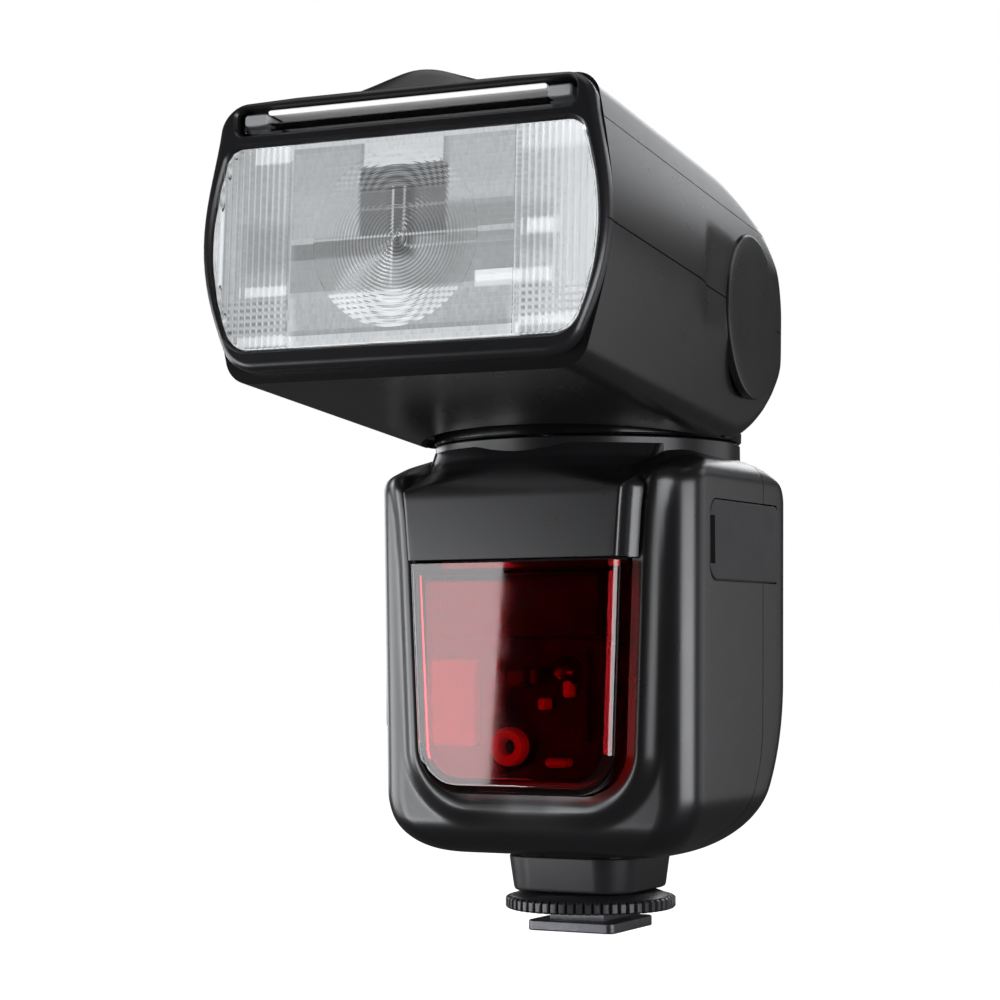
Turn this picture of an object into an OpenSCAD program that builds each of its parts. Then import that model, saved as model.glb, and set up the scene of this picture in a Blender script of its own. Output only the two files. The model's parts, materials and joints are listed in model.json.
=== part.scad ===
// Speedlight flash for a hot shoe: a body on a lockable foot, a turret that
// swivels on the body, and a head that tilts on the turret.
// Millimetres, +Z up, the lens faces -Y. Origin: centre of the foot's bottom face.

/* [Body] */
// Width of the body across its sides
body_w = 67.6; // [66:0.2:70]
// Depth of the body without the window block and the key panel
body_d = 52.6; // [52:0.2:56]
// Lowest point of the body
body_bottom = 15.5; // [15:0.1:16]
// Highest point of the body, where the neck flange starts
body_top = 93.8; // [93.4:0.1:94]
// Wall thickness of the body's mouldings
case_wall = 2.2; // [1.6:0.1:2.4]
// Place of the seam between front and rear case, along Y
seam_y = 8.3; // [7:0.1:9]
// How far the window block stands out of the front
block_proud = 7.1; // [6:0.1:8]
// How far the key panel stands out of the back
panel_proud = 3.4; // [3:0.1:4]

/* [Neck] */
// Radius of the turret
turret_r = 30.3; // [29.8:0.1:30.5]
// Radius of the swivel shaft
swivel_r = 12; // [10:0.5:13]
// Radius of the tilt pins
tilt_pin_r = 4; // [3:0.5:5]
// Thickness of each cheek of the yoke
cheek_t = 4; // [3:0.5:4]

/* [Head] */
// Half width of the head at its side seams
head_hw = 38; // [37.5:0.1:38.4]
// Distance from the tilt axis to the front of the bezel
head_reach = 81; // [79:0.5:83]
// Height of the head's top above the tilt axis
head_up = 26; // [25.8:0.1:26.4]
// Depth of the head's underside below the tilt axis
head_down = 23; // [22.6:0.1:23.2]
// Radius of the head's rear end about the tilt axis
ear_r = 23.4; // [23:0.1:23.5]
// Wall thickness of the head's mouldings
head_wall = 1.8; // [1.4:0.1:2]
// Radius of the round cap over each tilt pin
cap_r = 15.6; // [15:0.1:16]
// Height of the hump on top of the head
hump_h = 4.8; // [4:0.2:5.2]

/* [Pose] */
// Swivel of the head as it stands, degrees
head_pan = 5; // [0:1:8]
// Tilt of the head as it stands, degrees
head_tilt = 4; // [0:1:6]

/* [Foot] */
// Width of the hot shoe foot
foot_w = 18.6; // [18.4:0.05:18.7]
// Length of the hot shoe foot
foot_l = 19; // [18:0.5:21]
// Thickness of the foot's plate
foot_t = 2; // [1.9:0.05:2.1]
// Radius of the toothed lock ring
ring_r = 16.6; // [16:0.1:17]
// Number of teeth round the lock ring
ring_teeth = 60; // [48:2:72]

/* [Battery] */
// Length of the battery pack along X
pack_l = 50; // [48:0.5:50]
// Thickness of the battery pack along Y
pack_t = 20.6; // [18:0.2:21]
// Height of the battery pack along Z
pack_h = 38.4; // [34:0.2:39]

/* [Hidden] */
$fn = 64;
eps = 0.01;
fit = 0.05;          // radial clearance of a running fit
gap = 0.3;           // clearance between bodies
far = 100;           // longer than any part of the model
hw = body_w / 2;
hd = body_d / 2;
front_y = -hd - block_proud;
panel_y = hd + panel_proud;
hinge_y = -7;        // tilt axis, in front of the swivel axis
hinge_z = 117;
flange_z = 90.5;
turret_z = 94.3;
turret_top = 97.2;
turret_drop = hinge_z - turret_top;
bezel_t = 3;
shell_front = -head_reach + bezel_t;
seam_z = 0.6;        // side seam of the head
cover_z = 18.2;      // seam of the head's top cover
ear_x = 36.2;        // flat side of each ear
cap_x = 36.7;        // outer face of each hinge cap
notch_x = 31;        // half width of the room for the turret
notch_r = 19.4;      // radius of the head between its ears
tray_floor = 20;     // floor of the slot for the card and the wide panel
tube_y = -58;
screw_x = 30.8;      // lead screw beside the reflector
rail_x = 20;
rail_z = -17.6;
bay_c = [-hw + pack_l / 2, -11, 57.5];   // centre of the battery pack
key_pitch = 10.5;
dial_z = 44;
control_x = 18;
button_top = panel_y + 0.9;

// ---- helpers ----

// Points on a circle of radius r about (x, y), from angle a to angle b
function arc(x, y, r, a, b, n = 12) =
  [for (i = [0 : n]) let (t = a + (b - a) * i / n) [x + r * cos(t), y + r * sin(t)]];

// The mirror image of a list of points across the second axis, in reverse order
function mirrored(p) = [for (i = [len(p) - 1 : -1 : 0]) [-p[i][0], p[i][1]]];

// Block between two corners
module span(a, b) {
  translate(a) cube(b - a);
}

// Rectangle with round corners, centred
module round_rect(w, h, r) {
  square([w - 2 * r, h], center = true);
  square([w, h - 2 * r], center = true);
  for (sx = [-1, 1], sy = [-1, 1]) {
    translate([sx * (w / 2 - r), sy * (h / 2 - r)]) circle(r);
  }
}

// Extrudes an outline drawn in X and Z from y0 to y1
module along_y(y0, y1) {
  translate([0, y1, 0]) rotate([90, 0, 0]) linear_extrude(height = y1 - y0) children();
}

// Extrudes an outline drawn in Y and Z from x0 to x1
module along_x(x0, x1) {
  translate([x0, 0, 0]) rotate([90, 0, 90]) linear_extrude(height = x1 - x0) children();
}

// Round rod between two distances along X, Y or Z
module rod_x(x0, x1, r) {
  translate([x0, 0, 0]) rotate([0, 90, 0]) cylinder(r = r, h = x1 - x0);
}

module rod_y(y0, y1, r) {
  translate([0, y1, 0]) rotate([90, 0, 0]) cylinder(r = r, h = y1 - y0);
}

module rod_z(z0, z1, r) {
  translate([0, 0, z0]) cylinder(r = r, h = z1 - z0);
}

// Puts a part that is drawn straight ahead on the panned turret
module on_turret() {
  rotate([0, 0, head_pan]) children();
}

// Puts a part that is drawn about the tilt axis on the tilted head
module on_head() {
  on_turret() translate([0, hinge_y, hinge_z]) rotate([-head_tilt, 0, 0]) children();
}

// ---- body ----

// Outline of the case seen from above
module case_plan(i) {
  front_r = 7;
  rear_r = 9;
  side = concat(
    arc(hw - front_r, -hd + front_r, front_r - i, -90, 0),
    arc(hw - rear_r, hd - rear_r, rear_r - i, 0, 90));
  polygon(concat(side, mirrored(side)));
}

// Outline of the case seen from the front
module case_front(i) {
  corner = 12;
  shoulder = 5;
  taper = 0.8;
  side = concat(
    arc(hw - taper - corner, body_bottom + corner, corner - i, -90, 0),
    arc(hw - shoulder, body_top - 7.5, shoulder - i, 0, 65),
    [[24, body_top - i]]);
  polygon(concat(side, mirrored(side)));
}

// Outline of the case seen from the side: the lower back is swept forward
module case_side(i) {
  sweep = 32;
  rear_top = 5;
  front_low = 7;
  front_top = 4;
  polygon(concat(
    arc(-hd + front_low, body_bottom + front_low, front_low - i, 180, 270),
    arc(hd - sweep, body_bottom + sweep, sweep - i, -90, 0, 20),
    arc(hd - rear_top, body_top - 10.5, rear_top - i, 0, 62),
    [[8, body_top - i], [-14, body_top - i]],
    arc(-hd + front_top, body_top - 8.5, front_top - i, 118, 180)));
}

// The case as a solid, shrunk by i
module case_solid(i = 0) {
  intersection() {
    translate([0, 0, body_bottom - 1]) linear_extrude(height = far) case_plan(i);
    along_y(-far, far) case_front(i);
    along_x(-far, far) case_side(i);
  }
}

// Outline of the window block: it narrows to a round foot
module block_outline(i = 0) {
  low = 27.4 + i;
  side = concat(
    arc(11.5, low + 9 - i, 9 - i, -90, -8),
    [[21.9 - i, 70.5], [22.6 - i, 80], [24 - i, 87.5 - i], [22.5 - i, 89.5 - i]]);
  polygon(concat([[0, low]], side, mirrored(side)));
}

// The window block as a solid, its top falling towards the front
module block_solid(i = 0) {
  intersection() {
    along_y(front_y + i, 0) block_outline(i);
    along_x(-far, far) polygon([[front_y + i, 0], [front_y + i, 86 - i],
      [front_y + 2 + i, 88.5 - i], [-hd + 2, 90.5 - i], [0, 90.5 - i], [0, 0]]);
  }
}

// Everything in front of the case seam; the seam bends forward at the bottom
module seam_side() {
  bend = 22;
  along_x(-far, far) polygon(concat(
    [[-far, 0], [-far, far], [seam_y, far]],
    arc(seam_y - bend, 40, bend, 0, -75),
    [[seam_y - bend, 0]]));
}

// Openings that go through the case whichever half they meet
module case_openings() {
  rod_z(flange_z, far, turret_r - 0.3);
  rod_z(80, far, 16);
  span([-hw - 1, bay_c[1] - pack_t / 2 - 0.4, bay_c[2] - pack_h / 2 - 0.4],
    [-hw + 5, bay_c[1] + pack_t / 2 + 0.4, bay_c[2] + pack_h / 2 + 0.4]);
  span([hw - 1.8, -18.1, 66.7], [hw + 1, 16.3, 82.3]);
  span([hw - 5, -14, 69], [hw + 1, 12, 80]);
  span([-23, hd - 6, 33.4], [23, hd + 1, 86]);
  span([-hw - 1, -15.3, 78.9], [-hw + 1.6, -6.7, 87.1]);
  span([-hw - 1, -13, 80], [-hw + 5, -9, 85.2]);
  linear_extrude(height = 19) round_rect(24.4, 24.4, 6);
  screw_places() {
    rod_z(0, body_bottom + 2, 2.4);
    rod_z(0, 24, 1.25);
  }
}

module screw_places() {
  for (x = [-18, 18], y = [-15, 2]) {
    translate([x, y, 0]) children();
  }
}

module front_case() {
  color("#1b1b1d") difference() {
    intersection() {
      difference() {
        union() {
          case_solid();
          difference() {
            block_solid();
            span([-far, -far, 0], [far, -hd, 70.5]);
          }
        }
        case_solid(case_wall);
        block_solid(case_wall);
      }
      seam_side();
    }
    case_openings();
  }
}

module rear_case() {
  color("#1b1b1d") difference() {
    case_solid();
    case_solid(case_wall);
    seam_side();
    case_openings();
  }
}

module sensor_window() {
  color("#7a0f14") difference() {
    intersection() {
      block_solid();
      span([-far, -far, 0], [far, -hd, 70.5]);
    }
    block_solid(1.6);
  }
}

module window_tray() {
  color("#141416") difference() {
    along_y(-hd - 3.4, -hd + 1.4) intersection() {
      block_outline(2.6);
      translate([-far, 0]) square([2 * far, 69]);
    }
    along_y(-far, -hd + 0.2) intersection() {
      block_outline(3.8);
      translate([-far, 0]) square([2 * far, 67.8]);
    }
    translate([-1, 0, 36.4]) rod_y(-far, 0, 3.2);
    translate([9, 0, 50]) rod_y(-far, 0, 3.2);
  }
}

module af_lamp() {
  color("#c02020") translate([-1, 0, 36.4]) difference() {
    union() {
      rod_y(-hd - 4, -hd + 3, 3);
      rod_y(-hd + 1.6, -hd + 3, 4.2);
    }
    rod_y(-far, -hd - 2, 1.4);
  }
}

module optical_sensor() {
  color("#301014") translate([9, 0, 50]) {
    rod_y(-hd - 2.6, -hd + 3, 2.8);
    rod_y(-hd + 1.6, -hd + 3.4, 4);
  }
}

module main_board() {
  color("#1d5a33") {
    span([-29, 2, 24.4], [28, 3.6, 86]);
    span([6, 3.6, 60], [20, 5.4, 74]);
    span([-22, 3.6, 30], [-10, 8.6, 38]);
  }
}

module capacitor() {
  color("#26262c") translate([0, -11, 27.6]) {
    rod_x(-15.5, 15, 8.2);
    rod_x(15, 16, 7);
  }
}

module transformer() {
  color("#c9a227") difference() {
    span([20.4, -20, 42], [29, -5, 58]);
    span([22.4, -21, 45], [27, -18, 55]);
  }
}

module battery_bay() {
  w = 0.4;
  color("#2a2a2e") difference() {
    span([-hw + 5.2, bay_c[1] - pack_t / 2 - w - 1, bay_c[2] - pack_h / 2 - w - 1],
      [-hw + pack_l + 3, bay_c[1] + pack_t / 2 + w + 1, bay_c[2] + pack_h / 2 + w + 1]);
    span([-far, bay_c[1] - pack_t / 2 - w, bay_c[2] - pack_h / 2 - w],
      [-hw + pack_l + 2, bay_c[1] + pack_t / 2 + w, bay_c[2] + pack_h / 2 + w]);
  }
}

module battery_contacts() {
  color("#c8b070") for (z = [-9, -3, 3, 9]) {
    span([-hw + pack_l + 0.6, bay_c[1] - 1, bay_c[2] + z - 1.2],
      [-hw + pack_l + 2, bay_c[1] + 1, bay_c[2] + z + 1.2]);
  }
}

module display_lens() {
  color("#0c0f10") translate([0, 0, 74.5])
    along_y(panel_y - 1.6, panel_y) round_rect(43.4, 21.4, 1.8);
}

module lcd_module() {
  color("#7f8f88") span([-21, 22.6, 64.8], [21, panel_y - 2.4, 84.2]);
}

module control_board() {
  color("#1d5a33") span([-26, 20.6, 38], [26, 22.2, 86]);
}

// Openings of the key panel for its display, keys, dial and switch
module panel_openings() {
  translate([0, 0, 74.5]) along_y(panel_y - 1.7, far) round_rect(43.8, 21.8, 2);
  translate([0, 0, 74.5]) along_y(0, far) round_rect(40, 18.4, 1);
  for (k = [-1.5 : 1.5]) {
    translate([k * key_pitch, 0, 59.4]) along_y(0, far) round_rect(8.6, 4.6, 1.6);
  }
  translate([0, 0, dial_z]) rod_y(0, far, 10);
  for (z = [50, 38]) {
    translate([-control_x, 0, z]) rod_y(0, far, 3.6);
  }
  translate([control_x, 0, 50]) rod_y(0, far, 4);
  translate([control_x - 0.7, 0, 38]) along_y(0, far) round_rect(8.8, 4.6, 1.4);
}

module keypad_bezel() {
  color("#202022") difference() {
    translate([0, 0, 60]) along_y(14, panel_y) round_rect(50, 56, 5);
    case_solid();
    span([-22.8, 0, 33], [22.8, panel_y - 2.2, 85.8]);
    panel_openings();
  }
}

module neck_flange() {
  color("#1b1b1d") difference() {
    rod_z(flange_z, turret_z - gap, turret_r - 0.3);
    rod_z(0, far, swivel_r + fit);
  }
}

module foot_collar() {
  color("#18181a") difference() {
    union() {
      translate([0, 0, 7.7]) linear_extrude(height = 6.6, scale = 27 / 25.2) round_rect(25.2, 25.2, 6.6);
      translate([0, 0, 14.2]) linear_extrude(height = 4.6) round_rect(24, 24, 6);
    }
    span([-6.05, -6.05, 0], [6.05, 6.05, 30]);
  }
}

module shoe_foot() {
  color("#2c2c2f") difference() {
    union() {
      linear_extrude(height = foot_t) round_rect(foot_w, foot_l, 1.5);
      span([-6, -6, 0], [6, 6, 18]);
    }
    contact_places() rod_z(-1, 1.5 + eps, $contact_r);
    translate([0, -4.2, 0]) rod_z(-1, 12, 1.05);
  }
}

// Calls its children at each contact of the foot, with $contact_r set
module contact_places() {
  $contact_r = 1.7;
  children();
  for (p = [[-3.6, 3.6], [3.6, 3.6], [-3.6, -2.6], [3.6, -2.6]]) {
    $contact_r = 0.9;
    translate([p[0], p[1], 0]) children();
  }
}

module shoe_contacts() {
  color("#c9b98a") contact_places() rod_z(0, 1.5, $contact_r);
}

module case_screws() {
  color("#8a8a8e") screw_places() {
    difference() {
      rod_z(body_bottom + 0.5, body_bottom + 2, 2.1);
      rod_z(0, body_bottom + 1.3, 1);
    }
    rod_z(body_bottom + 1.9, 23.6, 1.1);
  }
}

module port_panel() {
  color("#101012") difference() {
    span([hw - 5.2, -16, 68], [hw - case_wall - 0.6, 14, 81]);
    translate([0, -9, 74.5]) rod_x(hw - 5, far, 1.4);
    translate([0, 0, 74.5]) rod_x(hw - 5, far, 1.8);
    span([hw - 5, 5, 72.9], [far, 11, 76.1]);
  }
}

// ---- turret ----

module swivel_base() {
  hole_r = swivel_r - 3;
  reach = 9;
  color("#161618") on_turret() {
    difference() {
      rod_z(turret_z, turret_top, turret_r);
      rod_z(0, turret_top - 1.4, hole_r);
    }
    for (s = [-1, 1]) {
      x0 = s < 0 ? -28 : 28 - cheek_t;
      translate([0, hinge_y, 0]) difference() {
        union() {
          span([x0, -reach, turret_top - eps], [x0 + cheek_t, reach, hinge_z]);
          translate([0, 0, hinge_z]) rod_x(x0, x0 + cheek_t, reach);
        }
        translate([0, 0, hinge_z]) rod_x(-far, far, tilt_pin_r + fit);
      }
    }
  }
}

module swivel_shaft() {
  color("#9a9aa0") on_turret() difference() {
    rod_z(86, turret_z, swivel_r);
    rod_z(0, far, swivel_r - 3);
  }
}

module swivel_retainer() {
  color("#85858a") on_turret() difference() {
    rod_z(86, flange_z - gap, swivel_r + 3.6);
    rod_z(0, far, swivel_r);
  }
}

// ---- head, drawn about the tilt axis ----

// Cross-section of the head, widest at the side seams
module head_section(i) {
  top_r = 4;
  low_r = 4.5;
  side = concat(
    arc(32.6 - low_r, -head_down + low_r, low_r - i, -90, -10),
    [[head_hw - i, seam_z]],
    arc(33.8 - top_r, head_up - top_r, top_r - i, 8, 90));
  polygon(concat(side, mirrored(side)));
}

// Side view of the head, with its rear end round about the tilt axis
module head_profile(i) {
  r = ear_r - i;
  polygon(concat(
    [[shell_front, -head_down + i], [0, -r]],
    arc(0, 0, r, -90, 75, 30),
    [[-24, head_up - i], [shell_front, head_up - i]]));
}

module head_solid(i = 0) {
  intersection() {
    along_y(-far, far) head_section(i);
    along_x(-far, far) head_profile(i);
  }
}

// Room for the turret and the case below it while the head tilts, grown by g
module turret_room(g = 0) {
  for (t = [-8, -4, 0, 4]) {
    rotate([t, 0, 0]) translate([0, -hinge_y, 0]) rod_z(-far, -turret_drop + 0.35 + g, turret_r + 0.5 + g);
  }
  difference() {
    span([-notch_x - g, -1, -far], [notch_x + g, far, far]);
    rod_x(-far, far, notch_r - g);
    span([-far, -far, 0], [far, notch_r - g, far]);
  }
}

// Slots that let the yoke's cheeks pass through the underside and the rear
module cheek_slots() {
  difference() {
    for (s = [-1, 1]) {
      translate([s * 26, 0, 0]) rod_x(-cheek_t / 2 - 0.4, cheek_t / 2 + 0.4, 22);
    }
    rod_x(-far, far, 11);
    rotate([-8, 0, 0]) span([-far, -far, -far], [far, -9.6, far]);
    span([-far, -far, 9.8], [far, far, far]);
  }
}

// The hollow head between its walls
module head_shell() {
  difference() {
    head_solid();
    difference() {
      head_solid(head_wall);
      turret_room(head_wall);
    }
    turret_room();
    cheek_slots();
    for (s = [-1, 1]) {
      translate([s * (ear_x + 5), 0, 0]) rod_x(-5, 5, 28);
      translate([s * (ear_x - 1 + 5), 0, 0]) rod_x(-5, 5, cap_r + 0.1);
    }
    rod_x(-far, far, tilt_pin_r);
  }
}

// The hump behind the bezel, shrunk by i; what is inside starts below the roof
module hump(i = 0) {
  base = i > 0 ? head_up - head_wall - 0.4 : head_up - eps;
  reach = i > 0 ? head_wall + 0.4 - i : 0;
  translate([0, -62, base]) hull() {
    linear_extrude(height = reach + 0.2) round_rect(54 - 2 * i, 31.6 - 2 * i, 4.5);
    linear_extrude(height = reach + 2.2) round_rect(38 - 2 * i, 28 - 2 * i, 4.5);
    linear_extrude(height = reach + hump_h) round_rect(15 - i, 21 - 2 * i, 4.5);
  }
}

module head_top_cover() {
  color("#1a1a1c") on_head() difference() {
    union() {
      intersection() {
        head_shell();
        span([-far, -far, cover_z], [far, far, far]);
      }
      hump();
    }
    hump(1.6);
  }
}

module head_upper_shell() {
  color("#1a1a1c") on_head() intersection() {
    head_shell();
    span([-far, -far, seam_z], [far, far, cover_z]);
  }
}

module head_lower_shell() {
  color("#1a1a1c") on_head() intersection() {
    head_shell();
    span([-far, -far, -far], [far, far, seam_z]);
  }
}

// Outline of the lens: straight top and bottom, bulging sides
module lens_outline(i) {
  side = concat(
    arc(27.6, -12.6, 5 - i, -90, -22),
    [[35.1 - i, -6], [35.3 - i, 0], [35.1 - i, 5]],
    arc(29.8, 14.4, 3.2 - i, 20, 90));
  polygon(concat(side, mirrored(side)));
}

// Outline of the bezel round the lens and the panel slot
module bezel_outline(i) {
  side = concat(
    arc(26.6, -14.6, 6.6 - i, -90, -24),
    [[36.9 - i, -5], [37.4 - i, 1], [36.7 - i, 9]],
    arc(29, 20, 5.6 - i, 14, 84));
  polygon(concat(side, [[0, head_up - 0.1 - i]], mirrored(side)));
}

module slot_outline(i) {
  translate([0, 22.2]) round_rect(62.6 - 2 * i, 4.8 - 2 * i, 1.6 - i);
}

module front_bezel() {
  color("#131315") on_head() difference() {
    along_y(-head_reach, shell_front) bezel_outline(0);
    along_y(-far, far) lens_outline(-0.1);
    along_y(-far, far) slot_outline(0);
  }
}

module fresnel_lens() {
  color("#e6ebee", 0.6) on_head()
    along_y(-head_reach + 0.4, -head_reach + 2.4) lens_outline(0);
}

module hinge_caps() {
  color("#1c1c1e") on_head() for (s = [-1, 1]) {
    translate([s * (ear_x + cap_x - 1) / 2, 0, 0])
      rod_x(-(cap_x - ear_x + 1) / 2, (cap_x - ear_x + 1) / 2, cap_r);
  }
}

module tilt_pins() {
  color("#9a9aa0") on_head() for (s = [-1, 1]) {
    translate([s * 28.6, 0, 0]) rod_x(-6.6, 6.6, tilt_pin_r);
  }
}

module panel_guide() {
  color("#26262a") on_head() difference() {
    span([-31.7, shell_front + 1, 19], [31.7, -26, 22.4]);
    span([-30.8, -far, tray_floor], [30.8, far, far]);
  }
}

module zoom_motor() {
  color("#a8a8ac") on_head() translate([screw_x, 0, 2]) {
    rod_y(-32, -20, 3.1);
    rod_y(-33, -32, 1.7);
  }
}

module zoom_rails() {
  color("#b8b8bc") on_head() for (s = [-1, 1]) {
    translate([s * rail_x, 0, rail_z]) rod_y(-77, -31, 1.1);
  }
}

// ---- what moves in the head ----

module catchlight_card() {
  color("#f4f4f2") on_head() translate([0, -57, 22.9])
    linear_extrude(height = 1) round_rect(51.2, 46, 1.5);
}

module wide_panel() {
  color("#dfe6ea", 0.5) on_head() {
    translate([0, -54.5, 20.5]) linear_extrude(height = 1.4) round_rect(60.6, 51, 1.5);
    for (s = [-1, 1]) {
      span([s * 28 - 2.2, -80, 21.8], [s * 28 + 2.2, -74, 23.7]);
    }
  }
}

// Outline of the reflector's trough in side view, grown by t, open to the front
function dish(t) =
  let (back = -55, depth = 21.5, mouth = 15.6,
    upper = [for (i = [0 : 13]) let (y = back - depth + depth * i / 14)
      [y, mouth * sqrt((back - y) / depth) + t]])
  concat(upper, [[back + t, 0]], [for (i = [13 : -1 : 0]) [upper[i][0], -upper[i][1]]]);

module reflector() {
  color("#d8d8da") on_head() difference() {
    along_x(-27.5, 27.5) polygon(dish(1));
    along_x(-26.7, 26.7) polygon(dish(0));
    along_x(-26.7, 26.7) translate([-80, -15.6]) square([3.6, 31.2]);
    translate([0, tube_y, 0]) rod_x(-far, far, 2.5);
  }
}

module flash_tube() {
  color("#f0f2f4", 0.7) on_head() translate([0, tube_y, 0]) rod_x(-27.6, 27.6, 2.1);
}

module tube_holder() {
  color("#e8e4da") on_head() difference() {
    union() {
      span([-29.2, tube_y - 4, -19.4], [29.2, tube_y + 6, -16]);
      for (s = [-1, 1]) {
        span([s * 28.4 - 0.8, tube_y - 4, -16 - eps], [s * 28.4 + 0.8, tube_y + 4, 4.4]);
      }
      span([29.2 - eps, tube_y - 4, -0.6], [33, tube_y + 4, 4.4]);
    }
    for (s = [-1, 1]) {
      translate([s * rail_x, 0, rail_z]) rod_y(-far, far, 1.1 + fit);
    }
    translate([screw_x, 0, 2]) rod_y(-far, far, 1.2 + fit);
  }
}

module lead_screw() {
  color("#c2b280") on_head() translate([screw_x, 0, 2]) {
    rod_y(-76, -33.3, 1.2);
    rod_y(-74.6, -73.4, 1.8);
  }
}

// ---- what moves on the foot ----

module lock_washer() {
  color("#8e8e92") difference() {
    rod_z(3.9, 4.9, 12.4);
    span([-6.1, -6.1, 0], [6.1, 6.1, 10]);
  }
}

// A ring of teeth between two radii
module toothed(r, depth, n) {
  polygon([for (i = [0 : 2 * n - 1]) let (a = 180 * (i + 0.5) / n,
    q = r - (floor(i / 2) % 2 == 0 ? 0 : depth)) [q * cos(a), q * sin(a)]]);
}

module lock_ring() {
  color("#1d1d1f") difference() {
    union() {
      translate([0, 0, 4]) linear_extrude(height = 2.3) toothed(ring_r, 0.6, ring_teeth);
      translate([0, 0, 6.2]) cylinder(r1 = ring_r - 0.8, r2 = 13.4, h = 1.1);
    }
    rod_z(0, 5.2, 12.7);
    rod_z(0, far, 9.1);
  }
}

module lock_pin() {
  color("#c8c8cc") translate([0, -4.2, 0]) rod_z(0, 9, 1);
}

// ---- what moves on the body ----

module battery_pack() {
  color("#222225") translate(bay_c) difference() {
    rotate([0, 90, 0]) translate([0, 0, -pack_l / 2])
      linear_extrude(height = pack_l) round_rect(pack_h, pack_t, 2);
    for (z = [-9, -3, 3, 9]) {
      span([pack_l / 2 - 2, -1.4, z - 1.6], [pack_l / 2 + 1, 1.4, z + 1.6]);
    }
    span([-pack_l / 2 - 1, -5, 14], [-pack_l / 2 + 1, 5, 17]);
  }
}

module battery_latch() {
  color("#2a2a2d") {
    translate([-hw + 0.7, -11, 81.2]) rotate([0, 90, 0])
      linear_extrude(height = 0.8) round_rect(4, 8, 1);
    for (z = [80.2, 81.2, 82.2]) {
      span([-hw + 0.2, -14, z - 0.2], [-hw + 0.8, -8, z + 0.2]);
    }
    span([-hw + 1.5 - eps, -12.4, 80.3], [-hw + 3.4, -9.6, 82.3]);
  }
}

module port_cover() {
  color("#161617") difference() {
    union() {
      translate([hw - 1.6, -1.3, 74.5]) rotate([90, 0, 90])
        linear_extrude(height = 1.6) round_rect(33, 15, 3);
      translate([hw - 0.8, 15.2, 0]) rod_z(67.6, 81.4, 0.8);
    }
    span([hw - 0.9, -17.3, 70], [hw + 1, -15.8, 79]);
  }
}

// One soft key under the display
module soft_key(k) {
  color("#3a3a3d") translate([(k - 2.5) * key_pitch, 0, 59.4]) {
    along_y(hd - 1, button_top) round_rect(8, 4, 1.3);
    along_y(hd - 2, hd - 0.9) round_rect(9.4, 5.4, 1.3);
  }
}

module soft_key_1() {
  soft_key(1);
}

module soft_key_2() {
  soft_key(2);
}

module soft_key_3() {
  soft_key(3);
}

module soft_key_4() {
  soft_key(4);
}

// A round button with a flange that keeps it in the panel
module round_button(x, z, r) {
  translate([x, 0, z]) {
    rod_y(hd - 1, button_top, r);
    rod_y(hd - 2, hd - 0.9, r + 0.7);
  }
}

module mode_button() {
  color("#3a3a3d") round_button(-control_x, 50, 3.3);
}

module wireless_button() {
  color("#3a3a3d") round_button(-control_x, 38, 3.3);
}

module test_button() {
  color("#4a4a4e") round_button(control_x, 50, 3.7);
}

module set_button() {
  color("#3a3a3d") round_button(0, dial_z, 5.4);
}

module dial_ring() {
  color("#2b2b2e") translate([0, 0, dial_z]) difference() {
    union() {
      along_y(hd - 1, button_top) toothed(9.6, 0.35, 44);
      rod_y(hd - 2.2, hd - 0.9, 10.7);
    }
    rod_y(0, far, 6.4);
  }
}

module power_switch() {
  color("#3a3a3d") translate([control_x - 2.2, 0, 38]) {
    along_y(hd + 0.6, button_top) round_rect(5.2, 4, 1);
    along_y(hd - 0.9, hd + 0.7) round_rect(7.6, 5.6, 1);
  }
}

front_case();
rear_case();
sensor_window();
window_tray();
af_lamp();
optical_sensor();
main_board();
capacitor();
transformer();
battery_bay();
battery_contacts();
display_lens();
lcd_module();
control_board();
keypad_bezel();
neck_flange();
foot_collar();
shoe_foot();
shoe_contacts();
case_screws();
port_panel();
swivel_base();
swivel_shaft();
swivel_retainer();
head_top_cover();
head_upper_shell();
head_lower_shell();
front_bezel();
fresnel_lens();
hinge_caps();
tilt_pins();
panel_guide();
zoom_motor();
zoom_rails();
catchlight_card();
wide_panel();
reflector();
flash_tube();
tube_holder();
lead_screw();
lock_washer();
lock_ring();
lock_pin();
battery_pack();
battery_latch();
port_cover();
soft_key_1();
soft_key_2();
soft_key_3();
soft_key_4();
mode_button();
wireless_button();
test_button();
set_button();
dial_ring();
power_switch();
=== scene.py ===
"""Speedlight flash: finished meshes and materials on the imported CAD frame.

Outlines are drawn in millimetres, in the row frame or in the head's own frame (origin on the tilt
axis, -Y towards the lens, +Z towards the top cover), and are scaled to metres when a mesh is made.
"""
import json
import math
from functools import partial

import bmesh
import bpy
import numpy as np
from mathutils import Matrix, Vector


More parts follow.
